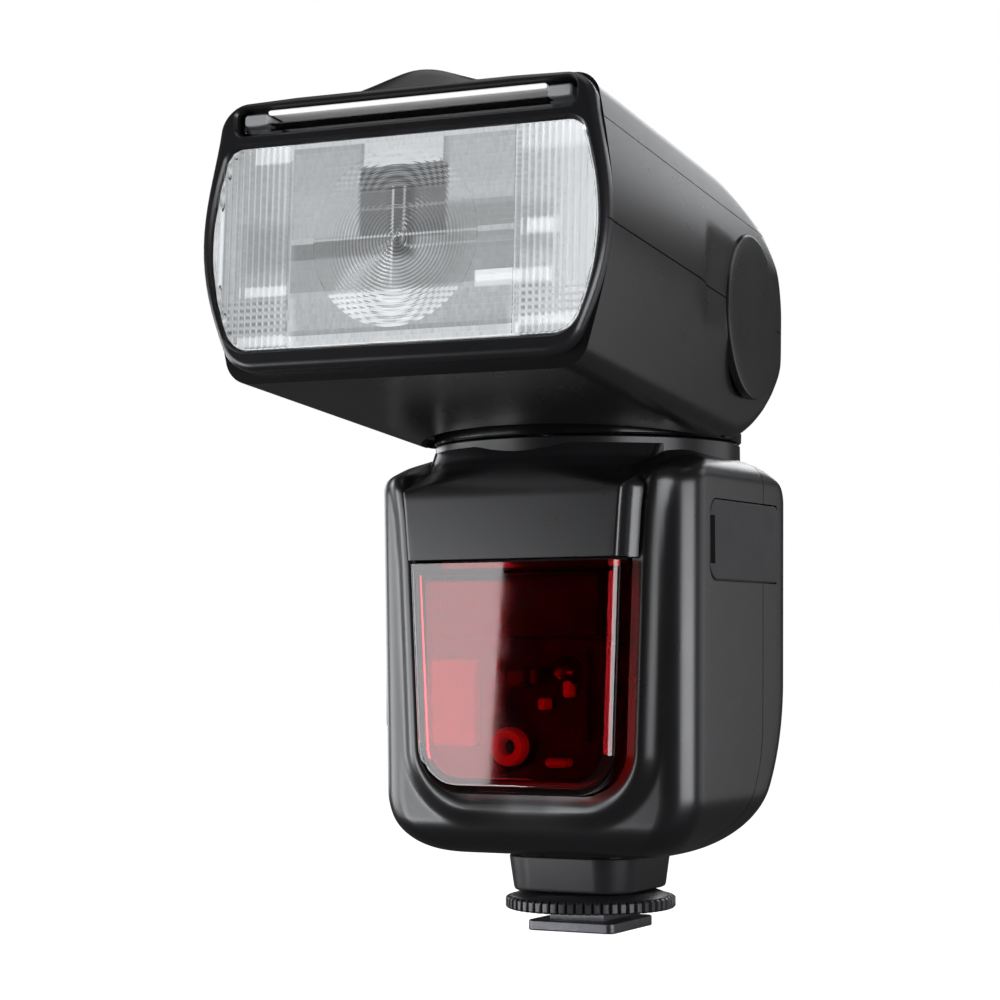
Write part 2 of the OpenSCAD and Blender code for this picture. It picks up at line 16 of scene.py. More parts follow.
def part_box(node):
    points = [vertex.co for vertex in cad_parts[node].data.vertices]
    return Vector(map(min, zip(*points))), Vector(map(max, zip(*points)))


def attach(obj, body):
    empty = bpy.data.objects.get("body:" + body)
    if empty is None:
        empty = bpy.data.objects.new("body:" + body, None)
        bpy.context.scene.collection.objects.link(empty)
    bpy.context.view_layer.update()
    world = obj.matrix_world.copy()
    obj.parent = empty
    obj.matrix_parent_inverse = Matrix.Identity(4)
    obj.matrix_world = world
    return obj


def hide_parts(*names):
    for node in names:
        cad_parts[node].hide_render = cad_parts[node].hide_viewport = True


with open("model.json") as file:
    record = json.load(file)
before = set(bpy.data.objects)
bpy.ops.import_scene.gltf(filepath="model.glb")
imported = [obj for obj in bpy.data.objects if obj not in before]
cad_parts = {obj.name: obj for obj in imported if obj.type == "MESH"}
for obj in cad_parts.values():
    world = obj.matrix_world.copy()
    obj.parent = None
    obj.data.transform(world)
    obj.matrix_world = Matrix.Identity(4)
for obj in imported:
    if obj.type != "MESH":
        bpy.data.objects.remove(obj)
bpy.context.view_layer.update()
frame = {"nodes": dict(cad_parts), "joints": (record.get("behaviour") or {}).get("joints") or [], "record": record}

MM = 0.001
TURN = 2 * math.pi
NODES = frame["nodes"]
JOINTS = {joint["name"]: joint for joint in frame["joints"]}


# ---- places taken from the frame

def head_matrix():
    """The head's own frame: X along the tilt axis, -Y the way the card slides out."""
    x_axis = -Vector(JOINTS["head_tilt"]["axis"])
    y_axis = -Vector(JOINTS["card_slide"]["axis"])
    z_axis = x_axis.cross(y_axis)
    matrix = Matrix((x_axis, y_axis, z_axis)).transposed().to_4x4()
    matrix.translation = Vector(JOINTS["head_tilt"]["pos_m"])
    return matrix


def turret_matrix():
    """The turret's frame: the row frame turned with the head about Z."""
    x_axis = -Vector(JOINTS["head_tilt"]["axis"])
    y_axis = Vector((0, 0, 1)).cross(x_axis)
    return Matrix((x_axis, y_axis, Vector((0, 0, 1)))).transposed().to_4x4()


ROW = Matrix.Identity(4)
HEAD = head_matrix()
TURRET = turret_matrix()


def size_mm(node):
    """Lowest and highest corner of a CAD node in the row frame, in millimetres."""
    low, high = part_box(node)
    return low / MM, high / MM


CASE_HIGH = size_mm("rear_case")[1]
WINDOW_LOW, WINDOW_HIGH = size_mm("sensor_window")
HALF_W = CASE_HIGH.x
HALF_D = CASE_HIGH.y
BOTTOM = size_mm("front_case")[0].z
TOP = size_mm("front_case")[1].z
FRONT_Y = WINDOW_LOW.y
MAIN_Y = WINDOW_HIGH.y
WINDOW_TOP = WINDOW_HIGH.z
WINDOW_BOTTOM = WINDOW_LOW.z
PANEL_Y = size_mm("keypad_bezel")[1].y


# ---- mesh helpers. Tools for cutting reach well past what they cut, so their far ends are round numbers.

def from_data(name, verts, faces, matrix=ROW):
    """A mesh object from millimetre points in the given frame."""
    mesh = bpy.data.meshes.new(name)
    mesh.from_pydata([tuple(v) for v in np.asarray(verts, float) * MM], [], faces)
    mesh.transform(matrix)
    mesh.validate()
    obj = bpy.data.objects.new(name, mesh)
    bpy.context.scene.collection.objects.link(obj)
    tidy(obj)
    return obj


def tidy(obj, merge=1e-6):
    """Merges doubled points and turns the faces outwards."""
    bm = bmesh.new()
    bm.from_mesh(obj.data)
    bmesh.ops.remove_doubles(bm, verts=bm.verts, dist=merge)
    bmesh.ops.dissolve_degenerate(bm, edges=bm.edges, dist=merge)
    bmesh.ops.recalc_face_normals(bm, faces=bm.faces)
    bm.to_mesh(obj.data)
    bm.free()


def crease(obj, angle=32.0):
    """Smooth shading, with sharp edges where the surface turns by more than the angle."""
    bm = bmesh.new()
    bm.from_mesh(obj.data)
    limit = math.radians(angle)
    for face in bm.faces:
        face.smooth = True
    for edge in bm.edges:
        edge.smooth = len(edge.link_faces) == 2 and edge.calc_face_angle(0.0) < limit
    bm.to_mesh(obj.data)
    bm.free()
    # large flat faces keep their own direction beside small ones
    modifier = obj.modifiers.new("normals", "WEIGHTED_NORMAL")
    modifier.keep_sharp = True
    apply_modifiers(obj)


def apply_modifiers(obj):
    """Replaces the object's mesh by its evaluated mesh."""
    graph = bpy.context.evaluated_depsgraph_get()
    mesh = bpy.data.meshes.new_from_object(obj.evaluated_get(graph))
    obj.modifiers.clear()
    old = obj.data
    obj.data = mesh
    bpy.data.meshes.remove(old)


def combine(obj, tools, operation):
    """Boolean of an object with one or more tools, which are used up."""
    for tool in tools:
        modifier = obj.modifiers.new("combine", "BOOLEAN")
        modifier.operation = operation
        modifier.solver = "MANIFOLD"
        modifier.object = tool
        apply_modifiers(obj)
        bpy.data.objects.remove(tool)
    return obj


def subtract(obj, *tools):
    return combine(obj, tools, "DIFFERENCE")


def unite(obj, *tools):
    return combine(obj, tools, "UNION")


def keep(obj, tool):
    return combine(obj, [tool], "INTERSECT")


def copy_of(obj, name):
    twin = obj.copy()
    twin.data = obj.data.copy()
    twin.name = name
    bpy.context.scene.collection.objects.link(twin)
    return twin


def arc(x, y, radius, start, end, steps=8):
    """Points on a circle from one angle to another, in degrees."""
    angles = np.radians(np.linspace(start, end, steps + 1))
    return [(x + radius * math.cos(a), y + radius * math.sin(a)) for a in angles]


def round_rect(width, height, radius, steps=6):
    """Outline of a rectangle with round corners, centred, anticlockwise."""
    a, b = width / 2 - radius, height / 2 - radius
    return (arc(a, -b, radius, -90, 0, steps) + arc(a, b, radius, 0, 90, steps)
            + arc(-a, b, radius, 90, 180, steps) + arc(-a, -b, radius, 180, 270, steps))


def circle(radius, steps=96):
    return arc(0, 0, radius, 0, 360 - 360 / steps, steps - 1)


def inset_loop(loop, distance):
    """Moves every point of an anticlockwise loop inwards by the distance."""
    points = np.array(loop, float)
    ahead = np.roll(points, -1, axis=0) - points
    behind = points - np.roll(points, 1, axis=0)
    ahead /= np.linalg.norm(ahead, axis=1)[:, None] + 1e-12
    behind /= np.linalg.norm(behind, axis=1)[:, None] + 1e-12
    normal = np.stack([-(ahead + behind)[:, 1], (ahead + behind)[:, 0]], axis=1)
    normal /= np.linalg.norm(normal, axis=1)[:, None] + 1e-12
    stretch = 1 / np.clip((normal * np.stack([-ahead[:, 1], ahead[:, 0]], axis=1)).sum(1), 0.5, 1)
    return points + normal * (distance * stretch)[:, None]


def both_sides(side, inset=0.0):
    """Closed loop from its right side and the mirror image of that, moved inwards if asked."""
    loop = side + [(-x, z) for x, z in reversed(side)]
    return [tuple(p) for p in inset_loop(loop, inset)] if inset else loop


def grid_faces(rows, columns, closed_rows=False):
    """Quads of a grid of points stored row by row; closed_rows joins each row's ends."""
    faces = []
    for r in range(rows - 1):
        for c in range(columns if closed_rows else columns - 1):
            d = (c + 1) % columns
            faces.append((r * columns + c, r * columns + d, (r + 1) * columns + d, (r + 1) * columns + c))
    return faces


def skin(name, rings, matrix=ROW):
    """A closed solid through outlines with the same number of points, flat at both ends."""
    count, last = len(rings[0]), len(rings) - 1
    faces = grid_faces(len(rings), count, closed_rows=True)
    faces += [tuple(range(count)), tuple(last * count + i for i in range(count))]
    return from_data(name, [point for ring in rings for point in ring], faces, matrix)


PLANES = {
    "z": lambda a, b, depth: (a, b, depth),
    "y": lambda a, b, depth: (a, -depth, b),
    "x": lambda a, b, depth: (depth, a, b),
}


def loft(name, loop, stations, plane="z", centre=(0, 0), matrix=ROW):
    """A closed solid through copies of one outline.

    Each station is (depth, inset). Depth runs along +Z, -Y or +X for the planes z, y and x, and
    the outline lies in XY, XZ or YZ.
    """
    to_space = PLANES[plane]
    rings = [[to_space(a + centre[0], b + centre[1], depth) for a, b in inset_loop(loop, inset)]
             for depth, inset in stations]
    return skin(name, rings, matrix)


def rounded(depth0, depth1, radius, steps=4, both=False):
    """Stations of a block whose edge at depth1, or at both ends, is rounded."""
    sign = 1 if depth1 > depth0 else -1
    turns = [math.radians(90 * i / steps) for i in range(steps + 1)]
    end = [(depth1 - sign * radius * (1 - math.sin(t)), radius * (1 - math.cos(t))) for t in turns]
    end.append((depth1, radius * 1.3))
    if both:
        start = [(depth0 + sign * radius * (1 - math.sin(t)), radius * (1 - math.cos(t))) for t in turns]
        start.append((depth0, radius * 1.3))
        return start[::-1] + end
    return [(depth0, 0.0)] + end


def block(low, high, matrix=ROW):
    """Plain box, used as a tool."""
    (x0, y0, z0), (x1, y1, z1) = low, high
    return loft("block", [(x0, y0), (x1, y0), (x1, y1), (x0, y1)], [(z0, 0), (z1, 0)], matrix=matrix)


def turned(radius, angle, height, axis, centre):
    """Point at a radius, an angle and a height on an axis through the centre."""
    a, b = radius * math.cos(angle), radius * math.sin(angle)
    point = {"z": (a, b, height), "y": (a, height, b), "x": (height, a, b)}[axis]
    return tuple(p + c for p, c in zip(point, centre))


def lathe(name, profile, steps=128, axis="z", centre=(0, 0, 0), matrix=ROW):
    """Turns a profile of (radius, height) points about an axis. A closed profile makes a ring."""
    verts, faces = [], []
    count = len(profile)
    for k in range(steps):
        verts += [turned(radius, TURN * k / steps, height, axis, centre) for radius, height in profile]
    for k in range(steps):
        for i in range(count):
            j = (i + 1) % count
            m = (k + 1) % steps
            faces.append((k * count + i, k * count + j, m * count + j, m * count + i))
    return from_data(name, verts, faces, matrix)


def rod(radius, start, end, steps, **place):
    """Cylinder between two heights on its axis, used as a tool."""
    return lathe("rod", [(0, start), (radius, start), (radius, end), (0, end)], steps, **place)


def finish(obj, slot, *replaced, body="root", paint=None, angle=32.0):
    """Gives a piece its shading, its material (the slot's own unless a paint is given) and its body, and hides the
    CAD nodes it stands for.
    """
    crease(obj, angle)
    obj.data.materials.clear()
    obj.data.materials.append(paint or PAINTS[slot])
    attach(obj, body)
    if replaced:
        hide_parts(*replaced)
    return obj


loft_y = partial(loft, plane="y")
head_loft = partial(loft, plane="y", matrix=HEAD)
head_lathe = partial(lathe, axis="x", matrix=HEAD)
head_rod = partial(rod, axis="x", matrix=HEAD)


# ---- materials

def new_material(name):
    material = bpy.data.materials.new(name)
    material.use_nodes = True
    return material, material.node_tree, material.node_tree.nodes["Principled BSDF"]


def add_node(tree, kind, **inputs):
    node = tree.nodes.new(kind)
    for key, value in inputs.items():
        node.inputs[key].default_value = value
    return node


def set_inputs(shader, **inputs):
    """Uniform values of a shader; an underscore in a name stands for a space."""
    for key, value in inputs.items():
        shader.inputs[key.replace("_", " ")].default_value = value


def noise(tree, scale, detail=3.0, roughness=0.55):
    """Noise over the object, its scale in features per millimetre."""
    place = tree.nodes.new("ShaderNodeTexCoord")
    node = add_node(tree, "ShaderNodeTexNoise", Scale=scale / MM, Detail=detail, Roughness=roughness)
    tree.links.new(place.outputs["Object"], node.inputs["Vector"])
    return node.outputs["Fac"]


def roughen(tree, shader, scale, height, strength, detail=2.0, roughness=0.55):
    """Fine texture, as a bump of the given height in millimetres."""
    bump = add_node(tree, "ShaderNodeBump", Strength=strength, Distance=height * MM)
    tree.links.new(noise(tree, scale, detail, roughness), bump.inputs["Height"])
    tree.links.new(bump.outputs["Normal"], shader.inputs["Normal"])


def set_range(node, *limits):
    for key, number in zip(("From Min", "From Max", "To Min", "To Max"), limits):
        node.inputs[key].default_value = number


def ramp(tree, value, low, high, start=0.3, end=0.7):
    """Maps a value from start-end to low-high."""
    node = tree.nodes.new("ShaderNodeMapRange")
    set_range(node, start, end, low, high)
    tree.links.new(value, node.inputs["Value"])
    return node.outputs["Result"]


def tint(tree, value, dark, light):
    """A colour that runs from dark, a colour or a socket, to light as the value runs from 0 to 1."""
    node = tree.nodes.new("ShaderNodeMix")
    node.data_type = "RGBA"
    if isinstance(dark, tuple):
        node.inputs["A"].default_value = (*dark, 1)
    else:
        tree.links.new(dark, node.inputs["A"])
    node.inputs["B"].default_value = (*light, 1)
    tree.links.new(value, node.inputs["Factor"])
    return node.outputs["Result"]


PATCH = 0.05             # slow patches of colour, in features per millimetre


def grey(value):
    """A cool grey from its level; a colour stays as it is."""
    return (value * 0.98, value * 0.98, value * 1.08) if isinstance(value, float) else value


def surface(name, dark, light, rough, grain, metal=0.0, spec=0.5, sheen=0.0, worn=None, glow=0.0):
    """Moulded, painted or metal surface.

    dark and light are the ends of the colour's slow variation, rough the range of roughness, grain
    the (features per mm, height in mm) of the fine texture, worn the colour of rubbed edges, and glow the strength of
    a self-lit glow, which is painted light.
    """
    material, tree, shader = new_material(name)
    colour = tint(tree, ramp(tree, noise(tree, PATCH, 4.0), 0.0, 1.0), grey(dark), grey(light))
    if worn:
        geometry = tree.nodes.new("ShaderNodeNewGeometry")
        edge = ramp(tree, geometry.outputs["Pointiness"], 0.0, 1.0, 0.53, 0.62)
        broken = tree.nodes.new("ShaderNodeMath")
        broken.operation = "MULTIPLY"
        tree.links.new(edge, broken.inputs[0])
        tree.links.new(ramp(tree, noise(tree, 0.8, 5.0), 0.0, 0.6, 0.45, 0.7), broken.inputs[1])
        colour = tint(tree, broken.outputs[0], colour, grey(worn))
    tree.links.new(colour, shader.inputs["Base Color"])
    tree.links.new(ramp(tree, noise(tree, PATCH * 3, 5.0), *rough), shader.inputs["Roughness"])
    roughen(tree, shader, *grain, 0.5, roughness=0.6)
    set_inputs(shader, Metallic=metal, Specular_IOR_Level=spec, Sheen_Weight=sheen,
               Emission_Color=(1, 1, 0.99, 1), Emission_Strength=glow)
    return material


def clear(name, colour, rough, weight=1.0, grain=(3.0, 0.002)):
    """See-through plastic or glass."""
    material, tree, shader = new_material(name)
    roughen(tree, shader, *grain, 0.4)
    tree.links.new(ramp(tree, noise(tree, 0.2, 4.0), rough, rough + 0.03), shader.inputs["Roughness"])
    set_inputs(shader, Base_Color=(*colour, 1), IOR=1.49, Transmission_Weight=weight)
    return material


CARD_LOOK = ((0.83, 0.83, 0.82), (0.88, 0.88, 0.87), (0.3, 0.4), (5.0, 0.004))
PAINTS = {
    "body_plastic": surface("case_plastic", 0.009, 0.011, (0.27, 0.3), (4.0, 0.006)),
    "trim_plastic": surface("trim_plastic", 0.012, 0.016, (0.3, 0.34), (6.0, 0.004)),
    "key_rubber": surface("key_rubber", 0.035, 0.045, (0.5, 0.6), (6.0, 0.012), sheen=0.1),
    "flap_rubber": surface("flap_rubber", 0.014, 0.018, (0.5, 0.58), (6.0, 0.012), sheen=0.05),
    "ring_plastic": surface("ring_plastic", 0.014, 0.02, (0.36, 0.44), (5.0, 0.01), worn=0.08),
    "battery_plastic": surface("battery_plastic", 0.018, 0.024, (0.45, 0.55), (3.5, 0.02), worn=0.05),
    "inner_plastic": surface("inner_plastic", 0.012, 0.02, (0.5, 0.6), (4.0, 0.02)),
    "holder_white": surface("holder_white", (0.62, 0.61, 0.58), (0.7, 0.69, 0.66), (0.45, 0.55), (4.0, 0.01)),
    # the card glows a little: painted light, it is no lamp
    "card_white": surface("card_white", *CARD_LOOK, glow=0.1),
    "steel": surface("steel", (0.5, 0.5, 0.52), (0.62, 0.62, 0.64), (0.2, 0.34), (7.0, 0.004), metal=1.0),
    "foot_metal": surface("foot_metal", 0.05, 0.075, (0.28, 0.4), (6.0, 0.006), metal=0.7, worn=(0.3, 0.3, 0.31)),
    "contact_gold": surface("contact_gold", (0.75, 0.55, 0.26), (0.85, 0.66, 0.34), (0.18, 0.3), (7.0, 0.003),
                            metal=1.0),
    "reflector_metal": surface("reflector_metal", (0.78, 0.79, 0.8), (0.86, 0.87, 0.88), (0.22, 0.32), (1.2, 0.03),
                               metal=1.0),
    "board_green": surface("board_green", (0.01, 0.06, 0.025), (0.02, 0.1, 0.04), (0.3, 0.45), (3.0, 0.02)),
    "coil_yellow": surface("coil_yellow", (0.55, 0.33, 0.05), (0.65, 0.42, 0.08), (0.4, 0.5), (3.0, 0.05)),
    "sleeve_dark": surface("sleeve_dark", 0.015, 0.02, (0.25, 0.35), (4.0, 0.01)),
    "lens_clear": clear("lens_clear", (0.93, 0.95, 0.96), 0.1),
    "panel_clear": clear("panel_clear", (0.86, 0.88, 0.9), 0.08, grain=(0.5, 0.08)),
    "tube_glass": clear("tube_glass", (0.97, 0.98, 0.98), 0.03),
    "window_red": clear("window_red", (0.75, 0.018, 0.03), 0.015, grain=(0.12, 0.003)),
    "screen": clear("screen", (0.25, 0.27, 0.27), 0.04),
    "lamp_red": surface("lamp_red", (0.45, 0.01, 0.012), (0.55, 0.015, 0.02), (0.2, 0.3), (4.0, 0.005)),
    "lcd_glass": surface("lcd_glass", (0.2, 0.26, 0.22), (0.24, 0.3, 0.26), (0.2, 0.3), (4.0, 0.003)),
}
# the card's front lip glows more: painted light, it is no lamp
CARD_EDGE_GLOW = surface("card_edge", *CARD_LOOK, glow=0.6)
# near-black and less shiny than the other plastics: painted shade for the shadow under the head
TURRET_SHADED_PLASTIC = surface("turret_plastic", 0.003, 0.004, (0.16, 0.2), (5.0, 0.004), spec=0.3)
TRAY = surface("tray_black", 0.003, 0.006, (0.5, 0.6), (4.0, 0.02), spec=0.25)
TAB = clear("panel_tab", (0.92, 0.93, 0.95), 0.2, weight=0.45, grain=(0.8, 0.05))
RED_RING = surface("lamp_ring_pale", (0.75, 0.2, 0.2), (0.85, 0.25, 0.25), (0.25, 0.35), (4.0, 0.004))
CLEAR_KEY = surface("test_key_plastic", 0.16, 0.2, (0.25, 0.35), (4.0, 0.004))


# ---- body case

CASE_SEAM = 8.3          # seam between the case halves along Y
WALL = 2.2               # wall of the mouldings
GAP = 0.12               # half the width of a seam between two mouldings
FRONT_RADIUS, REAR_RADIUS = 6.2, 9.0
NECK_Z = 90.5            # underside of the neck flange
FLAP_HINGE_Y = 15.2
WINDOW_HALF = 21.9       # half width of the window at its top
FRONT_TOE, REAR_TOE = 7.0, 32.0        # radii where the front and the rear turn under the case
CREST_DROP = 10.5        # from the case's top down to where its rear starts to turn over
RIDGE_HEIGHT, LIP_HEIGHT = 2.0, 1.0


def smooth(t):
    t = np.clip(t, 0.0, 1.0)
    return t * t * (3 - 2 * t)


def case_profile(z, reach, low_radius, start, radius, angle, end):
    """Reach of the case at a height: round at the bottom, upright, round above start, then sloping to end."""
    corner = start + radius * math.sin(math.radians(angle))
    if z < BOTTOM + low_radius:
        return reach - low_radius + math.sqrt(max(low_radius ** 2 - (BOTTOM + low_radius - z) ** 2, 0))
    if z < start:
        return reach
    if z < corner:
        return reach - radius + math.sqrt(radius ** 2 - (z - start) ** 2)
    edge = reach - radius + radius * math.cos(math.radians(angle))
    return edge + (end - edge) * (z - corner) / (TOP - corner)


def case_limits(z):
    """Half width, front and rear of the case at a height. The sides lean out a little towards the top."""
    low, shoulder, lean = BOTTOM + 12, TOP - 7.5, 0.8
    half = HALF_W - lean + lean * min(max((z - low) / (shoulder - low), 0), 1)
    return (case_profile(z, half, 12.0, shoulder, 5.0, 65, 24),
            case_profile(z, HALF_D, FRONT_TOE, TOP - 8.5, 4.0, 62, 14),
            case_profile(z, HALF_D, REAR_TOE, TOP - CREST_DROP, 5.0, 62, 8))


def window_side():
    """Right side of the outline of the window and the block above it, from the bottom up."""
    points = [(0.0, WINDOW_BOTTOM), (6.0, WINDOW_BOTTOM)]
    points += arc(11.5, WINDOW_BOTTOM + 9, 9, -90, -8, 16)
    return points + [(WINDOW_HALF, WINDOW_TOP), (22.6, WINDOW_TOP + 9.5), (23.4, TOP - 8), (25.5, TOP + 1)]


def outline_distance(x, z):
    """Distance from the window block's outline, negative inside it."""
    points = np.array(window_side())
    x = np.abs(x)
    best = np.full(x.shape, 1e9)
    side = np.zeros(x.shape)
    for a, b in zip(points[:-1], points[1:]):
        run = b - a
        t = np.clip(((x - a[0]) * run[0] + (z - a[1]) * run[1]) / (run @ run), 0, 1)
        dx, dz = x - a[0] - t * run[0], z - a[1] - t * run[1]
        distance = np.hypot(dx, dz)
        closer = distance < best
        side = np.where(closer, np.sign(run[1] * dx - run[0] * dz), side)
        best = np.where(closer, distance, best)
    return best * np.where(side == 0, 1, side)


def ridge(x, z):
    """How far the front stands out of its plane: a lip at the window, a ridge round it, then flat."""
    d = outline_distance(x, z)
    rise = LIP_HEIGHT + (RIDGE_HEIGHT - LIP_HEIGHT) * smooth(d / 2.8)
    height = np.where(d < 3.0, rise, RIDGE_HEIGHT * (1 - smooth((d - 3.0) / 3.9)))
    foot = 0.45 + 0.55 * smooth((z - WINDOW_BOTTOM + 4) / 12)
    side = smooth((np.abs(x) - 3) / 13)
    fade = np.maximum(foot * side, smooth((z - WINDOW_BOTTOM - 4) / 9))
    low = smooth((z - BOTTOM - 2.0) / 7)
    high = 1 - smooth((z - (TOP - 6.5)) / 5)
    return height * (0.35 + 0.65 * fade) * low * high


def case_ring(z, inset, fine):
    """Outline of the case at a height, with a fixed number of points for the loft."""
    width, front, rear = case_limits(z)
    width, front, rear = width - inset, front - inset, rear - inset
    scale = min(1.0, (front + rear) / (FRONT_RADIUS + REAR_RADIUS + 1))
    front_r = max(FRONT_RADIUS * scale - inset, 0.5)
    rear_r = max(REAR_RADIUS * scale - inset, 0.5)
    straight = np.linspace(-(width - front_r), width - front_r, 150 if fine else 12)
    ring = [(x, -front) for x in straight]
    ring += arc(width - front_r, -front + front_r, front_r, -90, 0, 14)[1:]
    ring += [(width, y) for y in np.linspace(-front + front_r, rear - rear_r, 14)[1:-1]]
    ring += arc(width - rear_r, rear - rear_r, rear_r, 0, 90, 14)
    ring += [(x, rear) for x in np.linspace(width - rear_r, -(width - rear_r), 16)[1:-1]]
    ring += arc(-(width - rear_r), rear - rear_r, rear_r, 90, 180, 14)
    ring += [(-width, y) for y in np.linspace(rear - rear_r, -front + front_r, 14)[1:-1]]
    ring += arc(-(width - front_r), -front + front_r, front_r, 180, 270, 14)[:-1]
    ring = np.array(ring)
    if fine:
        out = (ring[:, 1] < -15) * ridge(ring[:, 0], np.full(len(ring), z))
        facing = smooth((width + 0.4 - np.abs(ring[:, 0])) / 3)
        ring[:, 1] -= out * facing
    return ring


def case_heights(inset):
    """Heights of the loft, close together where the case is curved."""
    low, high = BOTTOM + inset, TOP - inset
    turn = 1 - np.cos(np.radians(np.linspace(0, 90, 22)))
    bottom = low + FRONT_TOE * turn
    rest = np.linspace(low + FRONT_TOE, high - CREST_DROP, 84 if inset == 0 else 24)[1:]
    top = np.linspace(high - CREST_DROP, high, 20)[1:]
    return np.concatenate([bottom, rest, top])


def case_solid(name, inset=0.0):
    return skin(name, [[(x, y, z) for x, y in case_ring(z, inset, inset == 0)] for z in case_heights(inset)])


def seam_tool(name, grow):
    """Everything in front of the case seam, which bends forward at the bottom."""
    bend, turn = 22.0, 40.0
    edge = CASE_SEAM + grow
    side = [(-80, 0), (edge - bend, 0)] + arc(edge - bend, turn, bend, -75, 0, 16) + [(edge, 120), (-80, 120)]
    return loft(name, side, [(-60, 0), (60, 0)], plane="x")


def brow_solid(name):
    """The block above the window: flat face, crisp side edges and hollow flanks, top swept back."""
    rings = []
    heights = np.concatenate([[WINDOW_TOP + 0.35, WINDOW_TOP + 0.6], np.linspace(WINDOW_TOP + 1.2, 92.6, 52)])
    for i, z in enumerate(heights):
        edge_in = 0.25 if i == 0 else 0.0
        front = -FRONT_Y - 4.2 * max(0.0, (z - 82.5) / 10) ** 2 - edge_in
        crown = np.interp(z, [80, 82, 84, 86, 88, 90, 92.6], [56, 48, 41, 36.2, 33, 31.2, 30.1])
        half = float(np.interp(z, [WINDOW_TOP, 80, 84, 88, 93], [WINDOW_HALF, 22.6, 23.0, 23.9, 24.2])) - edge_in
        face = []
        for x in np.linspace(0, half - 0.8, 20):
            turned = math.sqrt(crown ** 2 - x ** 2)
            face.append((x, -min(front, turned) + 0.35 * math.exp(-abs(front - turned) / 0.35)))
        x0, y0 = face[-1]
        edge = arc(x0, y0 + 0.8, 0.8, -84, -16, 6)
        flank = max(-edge[-1][1] - 27.6, 0.2)
        x0, y0 = edge[-1]
        side = face + edge
        for t in np.linspace(0, 1, 14)[1:]:
            side.append((x0 + (2.4 * t ** 4 + 0.1 * t) * min(1, flank / 5.8), y0 + flank * t * 0.97))
        x1, y1 = side[-1]
        side += [(x1 + 0.2, min(y1 + 1.5, -15)), (x1 - 1.0, min(y1 + 3.5, -14))]
        rings.append([(-x, y, z) for x, y in reversed(side[1:])] + [(x, y, z) for x, y in side])
    return skin(name, rings)


def window_loop(inset=0.0, top=None):
    """Closed outline of the window in XZ, anticlockwise seen from the front."""
    top = WINDOW_TOP if top is None else top
    side = [p for p in window_side() if p[1] < WINDOW_TOP - 0.01][1:]
    slope = (WINDOW_HALF - side[-1][0]) / (WINDOW_TOP - side[-1][1])
    side.append((side[-1][0] + slope * (top - side[-1][1]), top))
    return both_sides(side, inset)


def flap_outline(grow):
    """Outline of the flap in YZ: round corners in front, nearly square ones at its hinge."""
    low, high = size_mm("port_cover")
    y0, y1, z0, z1 = low.y - grow, FLAP_HINGE_Y + grow, low.z - grow, high.z + grow
    return (arc(y1 - 0.6, z0 + 0.6, 0.6, -90, 0, 4) + arc(y1 - 0.6, z1 - 0.6, 0.6, 0, 90, 4)
            + arc(y0 + 3, z1 - 3, 3, 90, 180, 8) + arc(y0 + 3, z0 + 3, 3, 180, 270, 8))


def build_case():
    outer = case_solid("case_outer")
    unite(outer, brow_solid("brow"))
    inner = case_solid("case_inner", WALL)
    subtract(outer, inner)
    # the room behind the window, the neck, a hole for the wires, the foot and the case screws
    subtract(outer, loft_y("window_room", window_loop(-0.35, WINDOW_TOP + 0.35), [(50, 0), (22, 0)]))
    subtract(outer, rod(30.05, NECK_Z, 100, 128))
    subtract(outer, rod(16, 80, 100, 64))
    subtract(outer, loft("foot_cut", round_rect(24.4, 24.4, 6), [(10, 0), (19, 0)]))
    for x, y in ((-18, -15), (-18, 2), (18, -15), (18, 2)):
        subtract(outer, rod(2.4, 10, BOTTOM + 3, 32, centre=(x, y, 0)))
    # battery door, latch window, flap recess with its sockets, and the key panel's room
    pack_low, pack_high = size_mm("battery_pack")
    subtract(outer, block((-HALF_W - 2, pack_low.y - 0.4, pack_low.z - 0.4),
                          (-HALF_W + 6, pack_high.y + 0.4, pack_high.z + 0.4)))
    subtract(outer, block((-HALF_W - 2, -15.3, 78.9), (-HALF_W + 1.6, -6.7, 87.1)))
    subtract(outer, block((-HALF_W - 2, -13, 80), (-HALF_W + 5, -9, 85.2)))
    subtract(outer, loft("flap_cut", flap_outline(0.22), [(HALF_W - 1.75, 0), (HALF_W + 2, 0)], plane="x"))
    subtract(outer, block((HALF_W - 5, -14, 69), (HALF_W + 2, 12, 80)))
    subtract(outer, block((-23, HALF_D - 6, 33.4), (23, HALF_D + 2, 86)))
    rear = copy_of(outer, "rear_shell")
    outer.name = "front_shell"
    keep(outer, seam_tool("seam_front", -GAP))
    subtract(rear, seam_tool("seam_rear", GAP))
    finish(outer, "body_plastic", "front_case")
    finish(rear, "body_plastic", "rear_case")


build_case()


# ---- window and what shows through it

TRAY_BACK = 24.6         # floor of the room behind the window, along -Y
LAMP_PLACE, SENSOR_PLACE = (-2.4, 36.2), (9, 50)
# Small parts on the floor: name, X, Z, width, height, paint if not the slot's own, slot
TRAY_PARTS = [
    ("led_tall", 9.7, 48.0, 1.3, 5.2, RED_RING, "lamp_red"), ("led_small", 4.6, 44.2, 1.4, 2.2, RED_RING, "lamp_red"),
    ("led_low", 7.4, 33.4, 4.2, 1.8, None, "lamp_red"), ("chip_a", -0.6, 49.2, 4.0, 3.4, None, "inner_plastic"),
    ("chip_b", 3.2, 49.2, 1.8, 3.2, None, "inner_plastic"),
]


def build_window():
    outer = loft_y("window", window_loop(0.0, WINDOW_TOP + 3), rounded(-MAIN_Y - 1.2, -FRONT_Y, 2.0, 10))
    subtract(outer, block((-30, -50, WINDOW_TOP - 0.02), (30, 0, WINDOW_TOP + 9)),
             loft_y("window_hollow", window_loop(1.5), rounded(20, -FRONT_Y - 1.5, 1.6, 8)))
    finish(outer, "window_red", "sensor_window")


